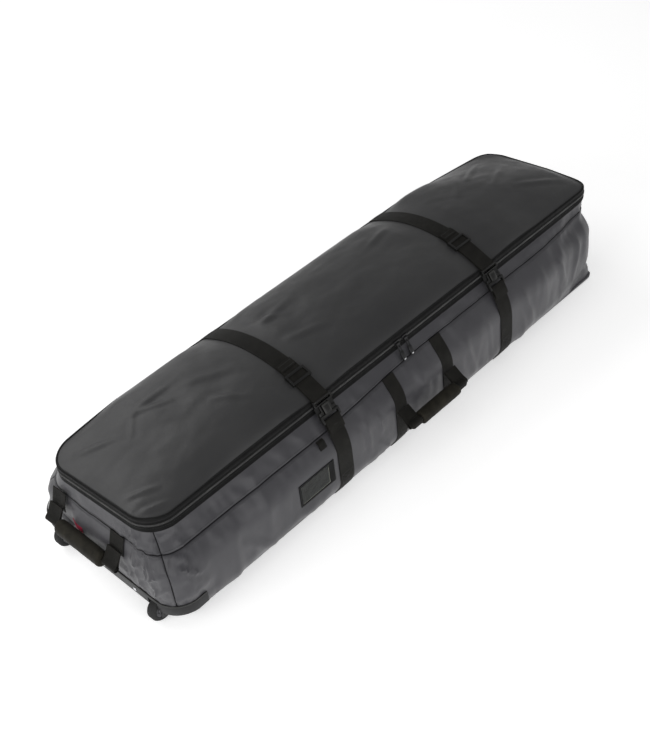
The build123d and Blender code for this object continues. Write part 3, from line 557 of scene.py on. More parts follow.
def modify(piece, kind, **settings):
    """Add a modifier, set it and apply it."""
    make_active(piece)
    modifier = piece.modifiers.new(kind.lower(), kind)
    for key, value in settings.items():
        setattr(modifier, key, value)
    bpy.ops.object.modifier_apply(modifier=modifier.name)
    return piece


def flat_grid(name, columns, rows, size):
    """A grid of cloth with a UV map in metres; returns it with each point's shares."""
    deselect()
    bpy.ops.mesh.primitive_grid_add(x_subdivisions=columns, y_subdivisions=rows, size=1)
    piece = named(name)
    shares = get_points(piece)[:, :2] + 0.5
    uv = piece.data.uv_layers.active.data
    values = np.zeros(len(uv) * 2)
    uv.foreach_get("uv", values)
    uv.foreach_set("uv", (values.reshape(-1, 2) * np.array(size)).ravel())
    return piece, shares[:, 0], shares[:, 1]


def dress(piece, body, slot, material, *nodes):
    """Material, body and the nodes that the piece stands for; slot is not used."""
    piece.data.materials.clear()
    piece.data.materials.append(material)
    make_active(piece)
    bpy.ops.object.shade_smooth_by_angle(angle=radians(40))
    if body:
        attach(piece, body)
    if nodes:
        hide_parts(*nodes)
    return piece


def delete_faces(piece, test):
    """Delete the faces whose centre and normal pass a test."""
    make_active(piece)
    bpy.ops.object.mode_set(mode="EDIT")
    bpy.ops.mesh.select_mode(type="FACE")
    bpy.ops.mesh.select_all(action="DESELECT")
    bpy.ops.object.mode_set(mode="OBJECT")
    for face in piece.data.polygons:
        face.select = test(face.center, face.normal)
    bpy.ops.object.mode_set(mode="EDIT")
    bpy.ops.mesh.delete(type="FACE")
    bpy.ops.object.mode_set(mode="OBJECT")


def join(pieces, name):
    """Several objects made one."""
    make_active(pieces[0])
    for piece in pieces:
        piece.select_set(True)
    bpy.ops.object.join()
    return named(name)


def seam_rows(low, high, count):
    """Heights for the rows of a panel, closer together at both seams."""
    fine = np.array([0, 0.0012, 0.0026, 0.0045, 0.007])
    middle = np.linspace(low + 0.011, high - 0.011, count)
    return np.concatenate([low + fine, middle, (high - fine)[::-1]])


def seam_shares(count, edge):
    fine = np.array([0, 0.0012, 0.0026, 0.0045, 0.007]) / edge
    return np.concatenate([fine, np.linspace(0.011 / edge, 1 - 0.011 / edge, count), (1 - fine)[::-1]])


def gather(points, normal, z):
    """Everything that moves the cloth off the bag's form."""
    x = points[:, 0]
    loose = 1 - held(points)
    swell = 0.0042 * cloud(points, (0.085, 0.12, 0.20), 1) + 0.0022 * cloud(points, (0.035, 0.05, 0.10), 2)
    ridge = 1 - 2.6 * np.abs(cloud(points, (0.10, 0.10, 0.26), 3, 1))
    swell = swell + 0.0022 * np.clip(ridge, 0, 1) ** 2
    rest = np.clip(z / 0.03, 0, 1) * np.clip((GUSSET_TOP - z) / 0.02, 0, 1)
    bow = 0.0035 * np.sin(np.pi * np.clip((z - 0.02) / 0.19, 0, 1))
    moved = (swell + bow) * loose * rest
    for start, end, width, height in CREASES:
        moved = moved + crease(points, start, end, width, height) * loose * rest
    corner = np.clip((-x - 0.69) / 0.09, 0, 1) * np.clip((-points[:, 1] - 0.06) / 0.06, 0, 1)
    corner = corner * np.clip((z - 0.06) / 0.05, 0, 1) * rest
    folds = 1 - 2.5 * np.abs(cloud(points, (0.032, 0.032, 0.048), 6, 2))
    moved = moved + corner * (0.0052 * np.clip(folds, 0, 1) ** 1.5 - 0.0012)
    pucker = 0.0010 * cloud(points, (0.012, 0.012, 0.05), 5, 1)
    at_seam = np.exp(-((z - SEAM) / 0.0018) ** 2)
    by_seam = np.exp(-((z - SEAM) / 0.014) ** 2)
    return points + normal * (moved + pucker * by_seam - 0.0026 * at_seam)[:, None]


CREASES = (
    ((-0.800, -0.245, 0.215), (-0.700, -0.250, 0.222), 0.006, 0.0045),
    ((-0.800, -0.240, 0.200), (-0.730, -0.250, 0.150), 0.007, 0.0050),
    ((-0.812, -0.215, 0.190), (-0.812, -0.140, 0.214), 0.006, 0.0050),
    ((-0.808, -0.226, 0.180), (-0.812, -0.150, 0.130), 0.006, 0.0050),
    ((-0.812, -0.170, 0.185), (-0.812, -0.120, 0.150), 0.005, 0.0040),
    ((-0.805, -0.235, 0.150), (-0.812, -0.180, 0.090), 0.006, 0.0040),
    ((-0.800, -0.205, 0.235), (-0.812, -0.150, 0.205), 0.005, 0.0040),
    ((-0.788, -0.120, 0.243), (-0.812, -0.090, 0.196), 0.006, 0.0035),
    ((-0.812, -0.060, 0.130), (-0.812, 0.060, 0.115), 0.010, 0.0030),
    ((-0.812, 0.150, 0.200), (-0.812, 0.215, 0.130), 0.008, 0.0035),
    ((-0.236, -0.250, 0.200), (-0.218, -0.250, 0.110), 0.007, 0.0040),
    ((-0.200, -0.250, 0.190), (-0.196, -0.250, 0.080), 0.008, 0.0035),
    ((-0.165, -0.250, 0.204), (-0.150, -0.250, 0.120), 0.006, 0.0040),
    ((-0.160, -0.250, 0.090), (-0.120, -0.250, 0.040), 0.008, 0.0035),
    ((-0.640, -0.250, 0.200), (-0.560, -0.250, 0.190), 0.009, 0.0030),
    ((-0.600, -0.250, 0.120), (-0.520, -0.250, 0.040), 0.014, 0.0035),
    ((-0.020, -0.250, 0.190), (0.020, -0.250, 0.130), 0.012, 0.0030),
    ((0.160, -0.250, 0.190), (0.200, -0.250, 0.060), 0.012, 0.0035),
    ((0.260, -0.250, 0.180), (0.270, -0.250, 0.070), 0.009, 0.0030),
    ((0.400, -0.250, 0.190), (0.440, -0.250, 0.070), 0.012, 0.0035),
    ((0.560, -0.250, 0.195), (0.600, -0.250, 0.090), 0.012, 0.0040),
    ((0.680, -0.250, 0.190), (0.650, -0.250, 0.060), 0.014, 0.0040),
    ((0.785, -0.180, 0.200), (0.790, -0.060, 0.110), 0.012, 0.0040),
    ((0.785, 0.160, 0.190), (0.790, 0.060, 0.080), 0.012, 0.0040),
    ((-0.500, 0.250, 0.190), (-0.460, 0.250, 0.070), 0.012, 0.0040),
    ((-0.100, 0.250, 0.190), (-0.060, 0.250, 0.060), 0.012, 0.0040),
    ((0.180, 0.250, 0.190), (0.150, 0.250, 0.070), 0.012, 0.0040),
    ((0.560, 0.250, 0.190), (0.600, 0.250, 0.070), 0.012, 0.0040),
)


def on_wall(side, share, z, lift=0.0):
    """Places on the finished cloth of a side, and its normals there."""
    tent = np.clip(np.minimum((z - 0.10) / (SEAM - 0.10), (GUSSET_TOP - z) / (GUSSET_TOP - SEAM)), 0, 1)
    level = z + seam_rise(outline(side, share, z)[0]) * tent
    x, y, angle = outline(side, share, level)
    points, normal = np.stack([x, y, level], axis=1), outward(angle, level)
    points = gather(points, normal, z)
    corner_gap = np.minimum(share, 1 - share) * (LONG_EDGE if side % 2 == 0 else SHORT_EDGE)
    points = points + normal * (lift - 0.0020 * np.exp(-((corner_gap / 0.0024) ** 2)))[:, None]
    return points + settle(points), normal


def wall(name, side, low, high, rows, columns, depth=0.0, thickness=CLOTH):
    """One sewn panel of a side, between two heights, or a layer behind it."""
    edge = LONG_EDGE if side % 2 == 0 else SHORT_EDGE
    shares, heights = seam_shares(columns, edge), seam_rows(low, high, rows)
    piece, across, rise = flat_grid(name, len(shares) - 1, len(heights) - 1, (edge, high - low))
    share = shares[np.rint(across * (len(shares) - 1)).astype(int)]
    z = heights[np.rint(rise * (len(heights) - 1)).astype(int)]
    points, normal = on_wall(side, share, z, -depth)
    points[:, 2] = np.maximum(points[:, 2], 0.0)
    set_points(piece, points)
    delete_faces(piece, lambda c, n: c.x < TRAY_END - 0.007 and c.z < TRAY_TOP - 0.007)
    modify(piece, "SOLIDIFY", thickness=thickness, offset=-1)
    return piece


# %% [markdown]
# The four walls and, above the seam, the four pieces of the gusset that
# slopes in to the zip. Neighbours share the same form and the same folds at
# a seam, so that a fold runs on through it.

# %% Walls and gussets
for index, side in enumerate(SIDES):
    columns = 300 if index % 2 == 0 else 96
    walled = wall(side + "_wall_cover", index, 0.0, SEAM, 30, columns)
    dress(walled, "base", "shell_cloth", wall_cloth, side + "_wall")
    sloped = wall(side + "_gusset_cover", index, SEAM, GUSSET_TOP + 0.001, 8, columns)
    dress(sloped, "base", "shell_cloth", wall_cloth, side + "_gusset")
    print(side, len(walled.data.polygons), "and", len(sloped.data.polygons), "faces")

# %% [markdown]
# The lid is one crowned panel inside the zip. Its grid is spread between the
# four edges of the outline, which rounds the corners without a pole, and the
# straps press it down a little.

# %% Lid


def lid_spread(across, rise, inset=0.0, height=GUSSET_TOP):
    """Plan places inside the outline at a height, between its four edges."""
    top = np.full(len(across), height)
    front = outline(0, across, top, inset)[:2]
    rear = outline(2, 1 - across, top, inset)[:2]
    wheel = outline(3, 1 - rise, top, inset)[:2]
    head = outline(1, rise, top, inset)[:2]
    one = np.full(1, height)
    corner = [outline(side, np.zeros(1), one, inset)[:2] for side in range(4)]
    plan = []
    for axis in (0, 1):
        edges = ((1 - rise) * front[axis] + rise * rear[axis]
                 + (1 - across) * wheel[axis] + across * head[axis])
        ends = ((1 - across) * (1 - rise) * corner[0][axis] + across * (1 - rise) * corner[1][axis]
                + across * rise * corner[2][axis] + (1 - across) * rise * corner[3][axis])
        plan.append(edges - ends)
    return plan[0], plan[1]


LID_CREASES = (
    ((-0.600, 0.085, 0.318), (-0.520, 0.035, 0.330), 0.009, 0.0035),
    ((-0.600, 0.080, 0.320), (-0.660, 0.020, 0.318), 0.009, 0.0040),
    ((-0.590, 0.090, 0.318), (-0.480, 0.080, 0.325), 0.012, 0.0030),
    ((-0.480, 0.060, 0.326), (-0.360, -0.010, 0.332), 0.016, 0.0032),
    ((-0.460, -0.040, 0.328), (-0.400, -0.100, 0.320), 0.010, 0.0025),
    ((-0.762, -0.085, 0.290), (-0.700, -0.120, 0.296), 0.008, 0.0035),
    ((-0.768, -0.140, 0.284), (-0.700, -0.168, 0.286), 0.007, 0.0035),
    ((-0.740, 0.120, 0.286), (-0.660, 0.060, 0.312), 0.010, 0.0035),
    ((-0.236, 0.090, 0.322), (-0.150, 0.040, 0.331), 0.012, 0.0030),
    ((-0.215, 0.060, 0.326), (-0.100, 0.075, 0.325), 0.014, 0.0030),
    ((-0.215, -0.030, 0.330), (-0.120, -0.060, 0.326), 0.012, 0.0022),
    ((0.255, 0.080, 0.324), (0.160, 0.060, 0.326), 0.012, 0.0025),
    ((0.560, 0.100, 0.312), (0.480, 0.020, 0.330), 0.012, 0.0030),
    ((0.680, 0.130, 0.292), (0.560, 0.060, 0.322), 0.010, 0.0035),
    ((0.700, 0.050, 0.306), (0.580, -0.020, 0.324), 0.012, 0.0030),
    ((0.740, -0.120, 0.286), (0.620, -0.060, 0.316), 0.012, 0.0030),
)


def lid_gather(x, y):
    """Height of the finished lid cloth at plan places."""
    z = crown(x, y)
    points = np.stack([x, y, z], axis=1)
    gap = np.minimum(HALF_WIDTH - np.abs(y), HALF_LENGTH - np.abs(x))
    rest = np.clip(gap / 0.03, 0, 1)
    firm = held(points)
    swell = 0.0034 * cloud(points, (0.20, 0.13, 0.2), 11) + 0.0016 * cloud(points, (0.07, 0.05, 0.1), 12)
    moved = (swell + 0.0035) * (1 - firm) * rest
    for start, end, width, height in LID_CREASES:
        moved = moved + crease(points, start, end, width, height) * (1 - firm) * rest
    return z + moved


def lid_layer(name, columns, rows, depth, thickness):
    """The lid's outer cloth, or a layer that lies a depth behind it."""
    piece, across, rise = flat_grid(name, columns, rows, (1.60, 0.40))
    x, y = lid_spread(across, rise, depth)
    z = lid_gather(x, y) - depth
    rim = (np.minimum(across, 1 - across) < 0.0005) | (np.minimum(rise, 1 - rise) < 0.0005)
    z = np.where(rim, LID_EDGE - 0.0035, np.maximum(z, LID_EDGE - 0.0030))
    points = np.stack([x, y, z], axis=1)
    set_points(piece, points + settle(points))
    return modify(piece, "SOLIDIFY", thickness=thickness, offset=-1)


lid_cover = lid_layer("lid_cover", 320, 78, 0.0, CLOTH)
dress(lid_cover, "lid", "shell_cloth", lid_cloth, "lid_panel")
lid_pad = lid_layer("lid_foam_pad", 110, 28, CLOTH + 0.0005, FOAM - 0.001)
dress(lid_pad, "lid", "foam", foam_skin, "lid_foam")
lid_inside = lid_layer("lid_lining_cloth", 160, 40, CLOTH + FOAM, LINING)
dress(lid_inside, "lid", "lining", lining_cloth, "lid_lining")
print("lid", len(lid_cover.data.polygons), "faces")

# %% [markdown]
# Behind the outer cloth lie a foam pad and a lining. They follow the same
# folds, so nothing shows through, and the lining is what is seen with the lid
# open. The floor inside is the same lining laid flat over foam and a board.

# %% Foam, lining and base
pads, linings = [], []
for index, side in enumerate(SIDES):
    columns = 150 if index % 2 == 0 else 60
    top = GUSSET_TOP - 0.001
    pads.append(wall(side + "_pad", index, FLOOR_TOP, top, 18, columns, CLOTH + 0.0025, FOAM - 0.004))
    linings.append(wall(side + "_lining", index, FLOOR_TOP, top, 18, columns, CLOTH + FOAM, LINING))


def floor_layer(name, height, thickness, columns, rows, inset, ripple):
    """A flat layer across the bag's floor."""
    piece, across, rise = flat_grid(name, columns, rows, (1.58, 0.44))
    x, y = lid_spread(across, rise, inset, height)
    points = np.stack([x, y, np.full(len(x), height)], axis=1)
    points[:, 2] += ripple * np.abs(cloud(points, (0.12, 0.10, 0.1), 21))
    set_points(piece, points)
    return modify(piece, "SOLIDIFY", thickness=thickness, offset=-1)


linings.append(floor_layer("floor_lining", FLOOR_TOP + LINING, LINING, 120, 40, CLOTH + FOAM, 0.002))
wall_pads = dress(join(pads, "wall_foam_pads"), "base", "foam", foam_skin, "wall_foam")
inside = dress(join(linings, "base_lining_cloth"), "base", "lining", lining_cloth, "base_lining")
floor_pad = floor_layer("floor_foam_pad", FLOOR_TOP, 0.0045, 80, 24, CLOTH + 0.001, 0.0)
dress(floor_pad, "base", "foam", foam_skin, "base_foam")
base_cover = floor_layer("base_cover", CLOTH, CLOTH, 160, 44, 0.0006, 0.0)
delete_faces(base_cover, lambda c, n: c.x < TRAY_END)
dress(base_cover, "base", "shell_cloth", wall_cloth, "base_panel")
frame["nodes"]["base_board"].data.materials.clear()
frame["nodes"]["base_board"].data.materials.append(board_plastic)
print("layers made")

# %% [markdown]
# The zip is two rows of coil between two woven tapes. It follows the outline
# from one end stop, round the wheel end, the front and the head end, to the
# other. A route of evenly spaced places round the outline serves the tapes,
# the teeth, the bindings and their stitches.

# %% Routes round the outline


def route(start, end, step, height=GUSSET_TOP, inset=0.0):
    """Even places round the outline, from side 2 round through 3, 0 and 1 to side 2 again."""
    shares = np.linspace(start, end, 6000)
    places = []
    for index in range(7):
        chosen = shares[(shares >= index) & ((shares < index + 1) | (index == 6))]
        x, y, angle = outline(index % 4, chosen - index, np.full(len(chosen), height), inset)
        places.append(np.stack([x, y, angle + 2 * pi * (index // 4)], axis=1))
    places = np.concatenate(places)
    run = np.concatenate([[0], np.cumsum(np.hypot(*np.diff(places[:, :2], axis=0).T))])
    even = np.linspace(0, run[-1], int(round(run[-1] / step)) + 1)
    return np.stack([np.interp(even, run, places[:, k]) for k in range(3)], axis=1)


straight = HALF_LENGTH - RADII[-1]
hinge_share = CORNER_SHARE[0] + (straight + HINGE_END) / (2 * straight) * (1 - 2 * CORNER_SHARE[0])
ZIP_START, ZIP_FINISH = 2 + hinge_share, 7 - hinge_share
zip_places = route(ZIP_START, ZIP_FINISH, 0.006)
ring_places = route(2.5, 6.5, 0.008)
print("zip", round(0.006 * (len(zip_places) - 1), 3), "m long")


def band(name, places, profile, thickness, size=(2.7, 0.02)):
    """A strip along places; its profile gives (outward, height) for each row of points."""
    lines = profile(*places.T)
    piece, across, rise = flat_grid(name, len(places) - 1, len(lines) - 1, size)
    order = np.rint(across * (len(places) - 1)).astype(int)
    level = np.rint(rise * (len(lines) - 1)).astype(int)
    zero = np.zeros(len(places))
    out = np.array([line[0] + zero for line in lines])[level, order]
    height = np.array([line[1] + zero for line in lines])[level, order]
    x, y, angle = places[order].T
    points = np.stack([x + np.cos(angle) * out, y + np.sin(angle) * out, height], axis=1)
    set_points(piece, points + settle(points))
    return modify(piece, "SOLIDIFY", thickness=thickness, offset=-1)


# %% Zip tapes, bindings and rims


def upper_tape_profile(x, y, angle):
    return [(0.0002, ZIP_HEIGHT + 0.0007), (0.0005, ZIP_HEIGHT + 0.003), (0.0003, ZIP_HEIGHT + 0.008),
            (0.0004, LID_EDGE - 0.001)]


def lower_tape_profile(x, y, angle):
    return [(0.0006, GUSSET_TOP - 0.0010), (0.0003, GUSSET_TOP + 0.005), (0.0005, ZIP_HEIGHT - 0.003),
            (0.0002, ZIP_HEIGHT - 0.0007)]


def lid_height(x, y, angle, inward):
    return lid_gather(x - np.cos(angle) * inward, y - np.sin(angle) * inward)


def lid_binding_profile(x, y, angle):
    """Over the lid's edge: up the tape, round, and a little way onto the lid."""
    line = [(0.0009, LID_EDGE - 0.006), (0.0016, LID_EDGE - 0.0025), (0.0012, LID_EDGE + 0.0005)]
    for inward, lift in ((0.0008, 0.0016), (0.0024, 0.0016), (0.0042, 0.0008)):
        line.append((-inward, lid_height(x, y, angle, inward) + lift))
    return line


def gusset_binding_profile(x, y, angle):
    """From the lower tape down onto the sloping gusset."""
    line = []
    for drop in (0.0036, 0.0022, 0.0008):
        z = np.array([GUSSET_TOP - drop])
        sides = section(z, HALF_WIDTHS)[0] - HALF_WIDTH
        ends = np.where(x < 0, section(z, WHEEL_REACHES)[0], section(z, HEAD_REACHES)[0]) - HALF_LENGTH
        share = np.cos(angle) ** 2
        line.append((share * ends + (1 - share) * sides + 0.0016, GUSSET_TOP - drop))
    return line + [(0.0014, GUSSET_TOP + 0.001), (0.0009, GUSSET_TOP + 0.003)]


strips = (
    ("upper_zip_tape_strip", "lid", zip_places, upper_tape_profile, 0.0011, "upper_zip_tape"),
    ("lower_zip_tape_strip", "base", zip_places, lower_tape_profile, 0.0011, "lower_zip_tape"),
    ("lid_binding", "lid", zip_places, lid_binding_profile, 0.0009, None),
    ("gusset_binding", "base", zip_places, gusset_binding_profile, 0.0009, None),
    ("lid_rim_tape", "lid", ring_places, lambda x, y, a: [
        (-0.0012, LID_EDGE - 0.0035), (-0.004, LID_EDGE - 0.0045), (-0.0095, LID_EDGE - 0.0038)],
     0.0008, None),
    ("base_rim_tape", "base", ring_places, lambda x, y, a: [
        (-0.0095, GUSSET_TOP - 0.0012), (-0.004, GUSSET_TOP + 0.0008),
        (-0.0012, GUSSET_TOP + 0.0002)], 0.0008, None),
)
for name, body, places, profile, thickness, node in strips:
    strip = band(name, places, profile, thickness)
    dress(strip, body, "zip_tape", tape_cloth, *([node] if node else []))
    print(name, len(strip.data.polygons), "faces")

# %% [markdown]
# A coil is one nylon thread wound into loops. A loop is modelled once, as a
# small block with its edges bevelled, and set at every 2.6 mm along the
# route. Stitches are made the same way. Each has few faces because there are
# hundreds of them.

# %% Coil and stitches


def chip(name, length, width, height, bevel):
    """A small block with rounded edges, at the origin, with its length along X."""
    deselect()
    bpy.ops.mesh.primitive_cube_add(size=1)
    piece = named(name)
    piece.scale = (length, width, height)
    bpy.ops.object.transform_apply(location=True, rotation=True, scale=True)
    bpy.ops.object.mode_set(mode="EDIT")
    bpy.ops.mesh.select_all(action="SELECT")
    bpy.ops.mesh.bevel(offset=bevel, segments=1)
    bpy.ops.object.mode_set(mode="OBJECT")
    return piece


def repeated(pattern, places, name):
    """One mesh of a pattern at each place: (origin, x, y and z directions) as rows."""
    points = get_points(pattern)
    faces = [list(face.vertices) for face in pattern.data.polygons]
    everything, polygons = [], []
    for number, (origin, *axes) in enumerate(places):
        everything.append(np.array(origin) + points @ np.array(axes))
        polygons += [[v + number * len(points) for v in face] for face in faces]
    mesh = bpy.data.meshes.new(name)
    mesh.from_pydata(np.concatenate(everything).tolist(), [], polygons)
    piece = bpy.data.objects.new(name, mesh)
    bpy.context.scene.collection.objects.link(piece)
    bpy.data.objects.remove(pattern)
    return piece


def along_route(step, out, height, offset=0.0):
    """Places for small pieces along the zip: X along it, Y outward, Z up."""
    x, y, angle = route(ZIP_START, ZIP_FINISH, step).T
    tangent = np.stack([-np.sin(angle), np.cos(angle), 0 * angle], axis=1)
    outside = np.stack([np.cos(angle), np.sin(angle), 0 * angle], axis=1)
    if callable(height):
        height = height(x, y, angle)
    spots = np.stack([x, y, height + 0 * x], axis=1) + outside * out + tangent * offset
    spots += settle(spots)
    return [(spot, t, o, (0.0, 0.0, 1.0)) for spot, t, o in zip(spots, tangent, outside)]


TOOTH_PITCH = 0.0026
for label, rise, body, shift in (("upper", 1, "lid", 0.0), ("lower", -1, "base", TOOTH_PITCH / 2)):
    tooth = chip("tooth", 0.0016, 0.0026, 0.0022, 0.0005)
    teeth = repeated(tooth, along_route(TOOTH_PITCH, 0.0014, ZIP_HEIGHT + rise * 0.0014, shift),
                     label + "_coil_teeth")
    dress(teeth, body, "zip_coil", coil_plastic, label + "_zip_coil")
    print(label, "coil", len(teeth.data.polygons), "faces")


def stitches(name, places, body, size=(0.0034, 0.0008, 0.0006)):
    """One short rounded thread at each place."""
    row = repeated(chip("stitch", *size, 0.0002), places, name)
    return dress(row, body, "zip_tape", thread)


stitches("lid_binding_stitches", along_route(
    0.0052, -0.0026, lambda x, y, a: lid_height(x, y, a, 0.0026) + 0.0019), "lid")
stitches("upper_tape_stitches", along_route(0.0052, 0.0011, LID_EDGE - 0.0055), "lid")
stitches("lower_tape_stitches", along_route(0.0052, 0.0011, GUSSET_TOP + 0.0042), "base")


def wall_stitch_places(side, z, step=0.0055):
    """Places for a row of stitches along a side at a height."""
    count = int((LONG_EDGE if side % 2 == 0 else SHORT_EDGE) / step)
    share = np.linspace(0.004, 0.996, count)
    points, normal = on_wall(side, share, np.full(count, z), 0.0003)
    tangent = np.gradient(points, axis=0)
    tangent /= np.linalg.norm(tangent, axis=1)[:, None]
    return list(zip(points, tangent, normal, np.cross(tangent, normal)))


seam_places = [p for side in range(4) for z in (SEAM + 0.0052, SEAM - 0.0052)
               for p in wall_stitch_places(side, z)]
stitches("seam_stitches", seam_places, "base")
print("stitches made:", len(seam_places), "on the seam")

# %% [markdown]
# Webbing is a flat woven strip. Its path is rounded at the bends and its
# points are set across it in rows. The straps run from the base seam up the
# wall, round the buckle's bars and over the lid.

# %% Helpers for webbing and moulded parts
WEBBING = 0.0020


def rounded(path, radius, step):
    """A path sampled evenly, with its bends rounded and its ends kept."""
    path = np.array(path, float)
    run = np.concatenate([[0], np.cumsum(np.linalg.norm(np.diff(path, axis=0), axis=1))])
    fine = np.linspace(0, run[-1], max(int(run[-1] / 0.0005), 8))
    dense = np.stack([np.interp(fine, run, path[:, k]) for k in range(3)], axis=1)
    reach = min(max(int(radius / 0.0005), 1), len(dense) // 3)
    kernel = np.bartlett(2 * reach + 3)[1:-1]
    kernel /= kernel.sum()
    ahead = 2 * dense[0] - dense[reach:0:-1]
    behind = 2 * dense[-1] - dense[-2:-reach - 2:-1]
    padded = np.concatenate([ahead, dense, behind])
    smooth = np.stack([np.convolve(padded[:, k], kernel, "valid") for k in range(3)], axis=1)
    run = np.concatenate([[0], np.cumsum(np.linalg.norm(np.diff(smooth, axis=0), axis=1))])
    even = np.linspace(0, run[-1], max(int(round(run[-1] / step)), 2) + 1)
    return np.stack([np.interp(even, run, smooth[:, k]) for k in range(3)], axis=1), run[-1]


def eased(path, reach, count=6):
    """Round each bend of a path by a curve that starts a reach before it."""
    path = [np.array(point, float) for point in path]
    points = [path[0]]
    for before, bend, after in zip(path, path[1:], path[2:]):
        inward, onward = before - bend, after - bend
        start = bend + inward * min(reach / np.linalg.norm(inward), 0.5)
        end = bend + onward * min(reach / np.linalg.norm(onward), 0.5)
        points += [(1 - t) ** 2 * start + 2 * t * (1 - t) * bend + t**2 * end
                   for t in np.linspace(0, 1, count)]
    return points + [path[-1]]


def webbing(name, path, widths, side, body, thickness=WEBBING, bend=0.005, step=0.004,
            material=None, nodes=()):
    """A strip along a path; widths are at its two ends and side points across it."""
    line, length = rounded(path, bend, step)
    piece, along, rise = flat_grid(name, len(line) - 1, 8, (length, widths[0]))
    order = np.rint(along * (len(line) - 1)).astype(int)
    side = np.array(side, float)
    tangent = np.gradient(line, axis=0)
    normal = np.cross(side, tangent)
    normal /= np.linalg.norm(normal, axis=1)[:, None]
    width = widths[0] + (widths[1] - widths[0]) * along
    wave = 0.00025 * cloud(line, (0.03, 0.03, 0.03), 31, 1)
    across = rise - 0.5
    edge = 0.00025 * np.cos(2 * np.pi * across)
    points = line[order] + side * (across * width)[:, None]
    points = points + normal[order] * (wave[order] * np.cos(np.pi * across) - edge)[:, None]
    set_points(piece, points)
    modify(piece, "SOLIDIFY", thickness=thickness, offset=0)
    modify(piece, "BEVEL", width=0.00035, segments=1, limit_method="ANGLE", angle_limit=radians(50))
    return dress(piece, body, "webbing", material or webbing_cloth, *nodes)


def softened(node, width, slot, material, segments=2, body=None):
    """A moulded part: the node's own shape with its edges rounded."""
    source = frame["nodes"][node]
    piece = bpy.data.objects.new(node + "_moulded", source.data.copy())
    bpy.context.scene.collection.objects.link(piece)
    make_active(piece)
    bpy.ops.object.mode_set(mode="EDIT")
    bpy.ops.mesh.select_all(action="SELECT")
    bpy.ops.mesh.remove_doubles(threshold=0.00001)
    bpy.ops.mesh.dissolve_limited(angle_limit=radians(1))
    bpy.ops.mesh.normals_make_consistent(inside=False)
    bpy.ops.object.mode_set(mode="OBJECT")
    modify(piece, "BEVEL", width=width, segments=segments, limit_method="ANGLE",
           angle_limit=radians(35))
    owner = body or source.parent.name.split(":")[1]
    return dress(piece, owner, slot, material, node)


def rounded_block(name, centre, size, bevel, axes=((1, 0, 0), (0, 1, 0), (0, 0, 1)), segments=2):
    """A block with rounded edges, its own axes turned to three directions."""
    deselect()
    bpy.ops.mesh.primitive_cube_add(size=1)
    piece = named(name)
    points = get_points(piece) * np.array(size)
    set_points(piece, points)
    modify(piece, "BEVEL", width=bevel, segments=segments)
    set_points(piece, np.array(centre) + get_points(piece) @ np.array(axes, float))
    return piece


def tube(name, line, radius, sides=10, up=(0, 0, 1)):
    """A round cord along a line of points."""
    line = np.array(line, float)
    tangent = np.gradient(line, axis=0)
    tangent /= np.linalg.norm(tangent, axis=1)[:, None]
    flank = np.cross(tangent, up)
    flank /= np.linalg.norm(flank, axis=1)[:, None]
    top = np.cross(flank, tangent)
    rings = [line + radius * (cos(a) * flank + sin(a) * top)
             for a in (2 * pi * k / sides for k in range(sides))]
    points = np.stack(rings, axis=1).reshape(-1, 3)
    faces = [[r * sides + k, r * sides + (k + 1) % sides, (r + 1) * sides + (k + 1) % sides,
              (r + 1) * sides + k] for r in range(len(line) - 1) for k in range(sides)]
    faces += [list(range(sides))[::-1], [(len(line) - 1) * sides + k for k in range(sides)]]
    mesh = bpy.data.meshes.new(name)
    mesh.from_pydata(points.tolist(), [], faces)
    piece = bpy.data.objects.new(name, mesh)
    bpy.context.scene.collection.objects.link(piece)
    make_active(piece)
    bpy.ops.object.mode_set(mode="EDIT")
    bpy.ops.mesh.select_all(action="SELECT")
    bpy.ops.mesh.normals_make_consistent(inside=False)
    bpy.ops.object.mode_set(mode="OBJECT")
    return piece


print("helpers ready")

# %% [markdown]
# Each seam of the walls is finished with a thin dark cord that lies in the
# valley between two panels.

# %% Seam cords
cords = []
for side in range(4):
    share = np.linspace(0, 1, 320 if side % 2 == 0 else 120)
    line, _ = on_wall(side, share, np.full(len(share), SEAM), 0.0014)
    cords.append(tube("seam_cord", line, 0.0008, 6))
    z = np.linspace(TRAY_TOP + 0.002 if CORNERS[side][0] < 0 else 0.004, GUSSET_TOP, 60)
    line, _ = on_wall(side, np.zeros(60), z, 0.0008)
    cords.append(tube("corner_cord", line, 0.0008, 6, (1, 0, 0)))
dress(join(cords, "seam_cords"), "base", "zip_tape", tape_cloth)
print("seam cords made")

# %% Straps
lid_corner = np.array((-HALF_WIDTH, LID_EDGE))
belly_corner = np.array((-belly_half_width, BELLY_HIGH))
BUCKLE_STANDOFF, BUCKLE_THICKNESS, BUCKLE_LENGTH = 0.0022, 0.0090, 0.0580
MIDDLE = BUCKLE_STANDOFF + BUCKLE_THICKNESS / 2
chord = belly_corner - lid_corner
tilt = asin((MIDDLE - 0.0016) / hypot(*chord))
down = np.array((chord[0] * cos(tilt) + chord[1] * sin(tilt), chord[1] * cos(tilt) - chord[0] * sin(tilt)))
down /= hypot(*down)
out = np.array((down[1], -down[0]))
BAR, LOOP = 0.005, 0.0028
STRAP_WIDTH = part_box("wheel_strap_wall_webbing")[1].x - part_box("wheel_strap_wall_webbing")[0].x
run_axes = ((1, 0, 0), (0, *down), (0, *out))


def on_run(x, along, off):
    """A point on a strap's front run: distance down from the lid's edge, and off the cloth."""
    y, z = lid_corner + along * down + off * out
    return (x, y, z)


def over_crown(x, start, end, lift, count=40):
    """Points over the lid from one Y to another, a little above the cloth."""
    y = np.linspace(start, end, count)
    z = np.sqrt((CROWN_RADIUS + lift) ** 2 - y**2) + CROWN_CENTRE
    return [(x, a, b) for a, b in zip(y, z)]


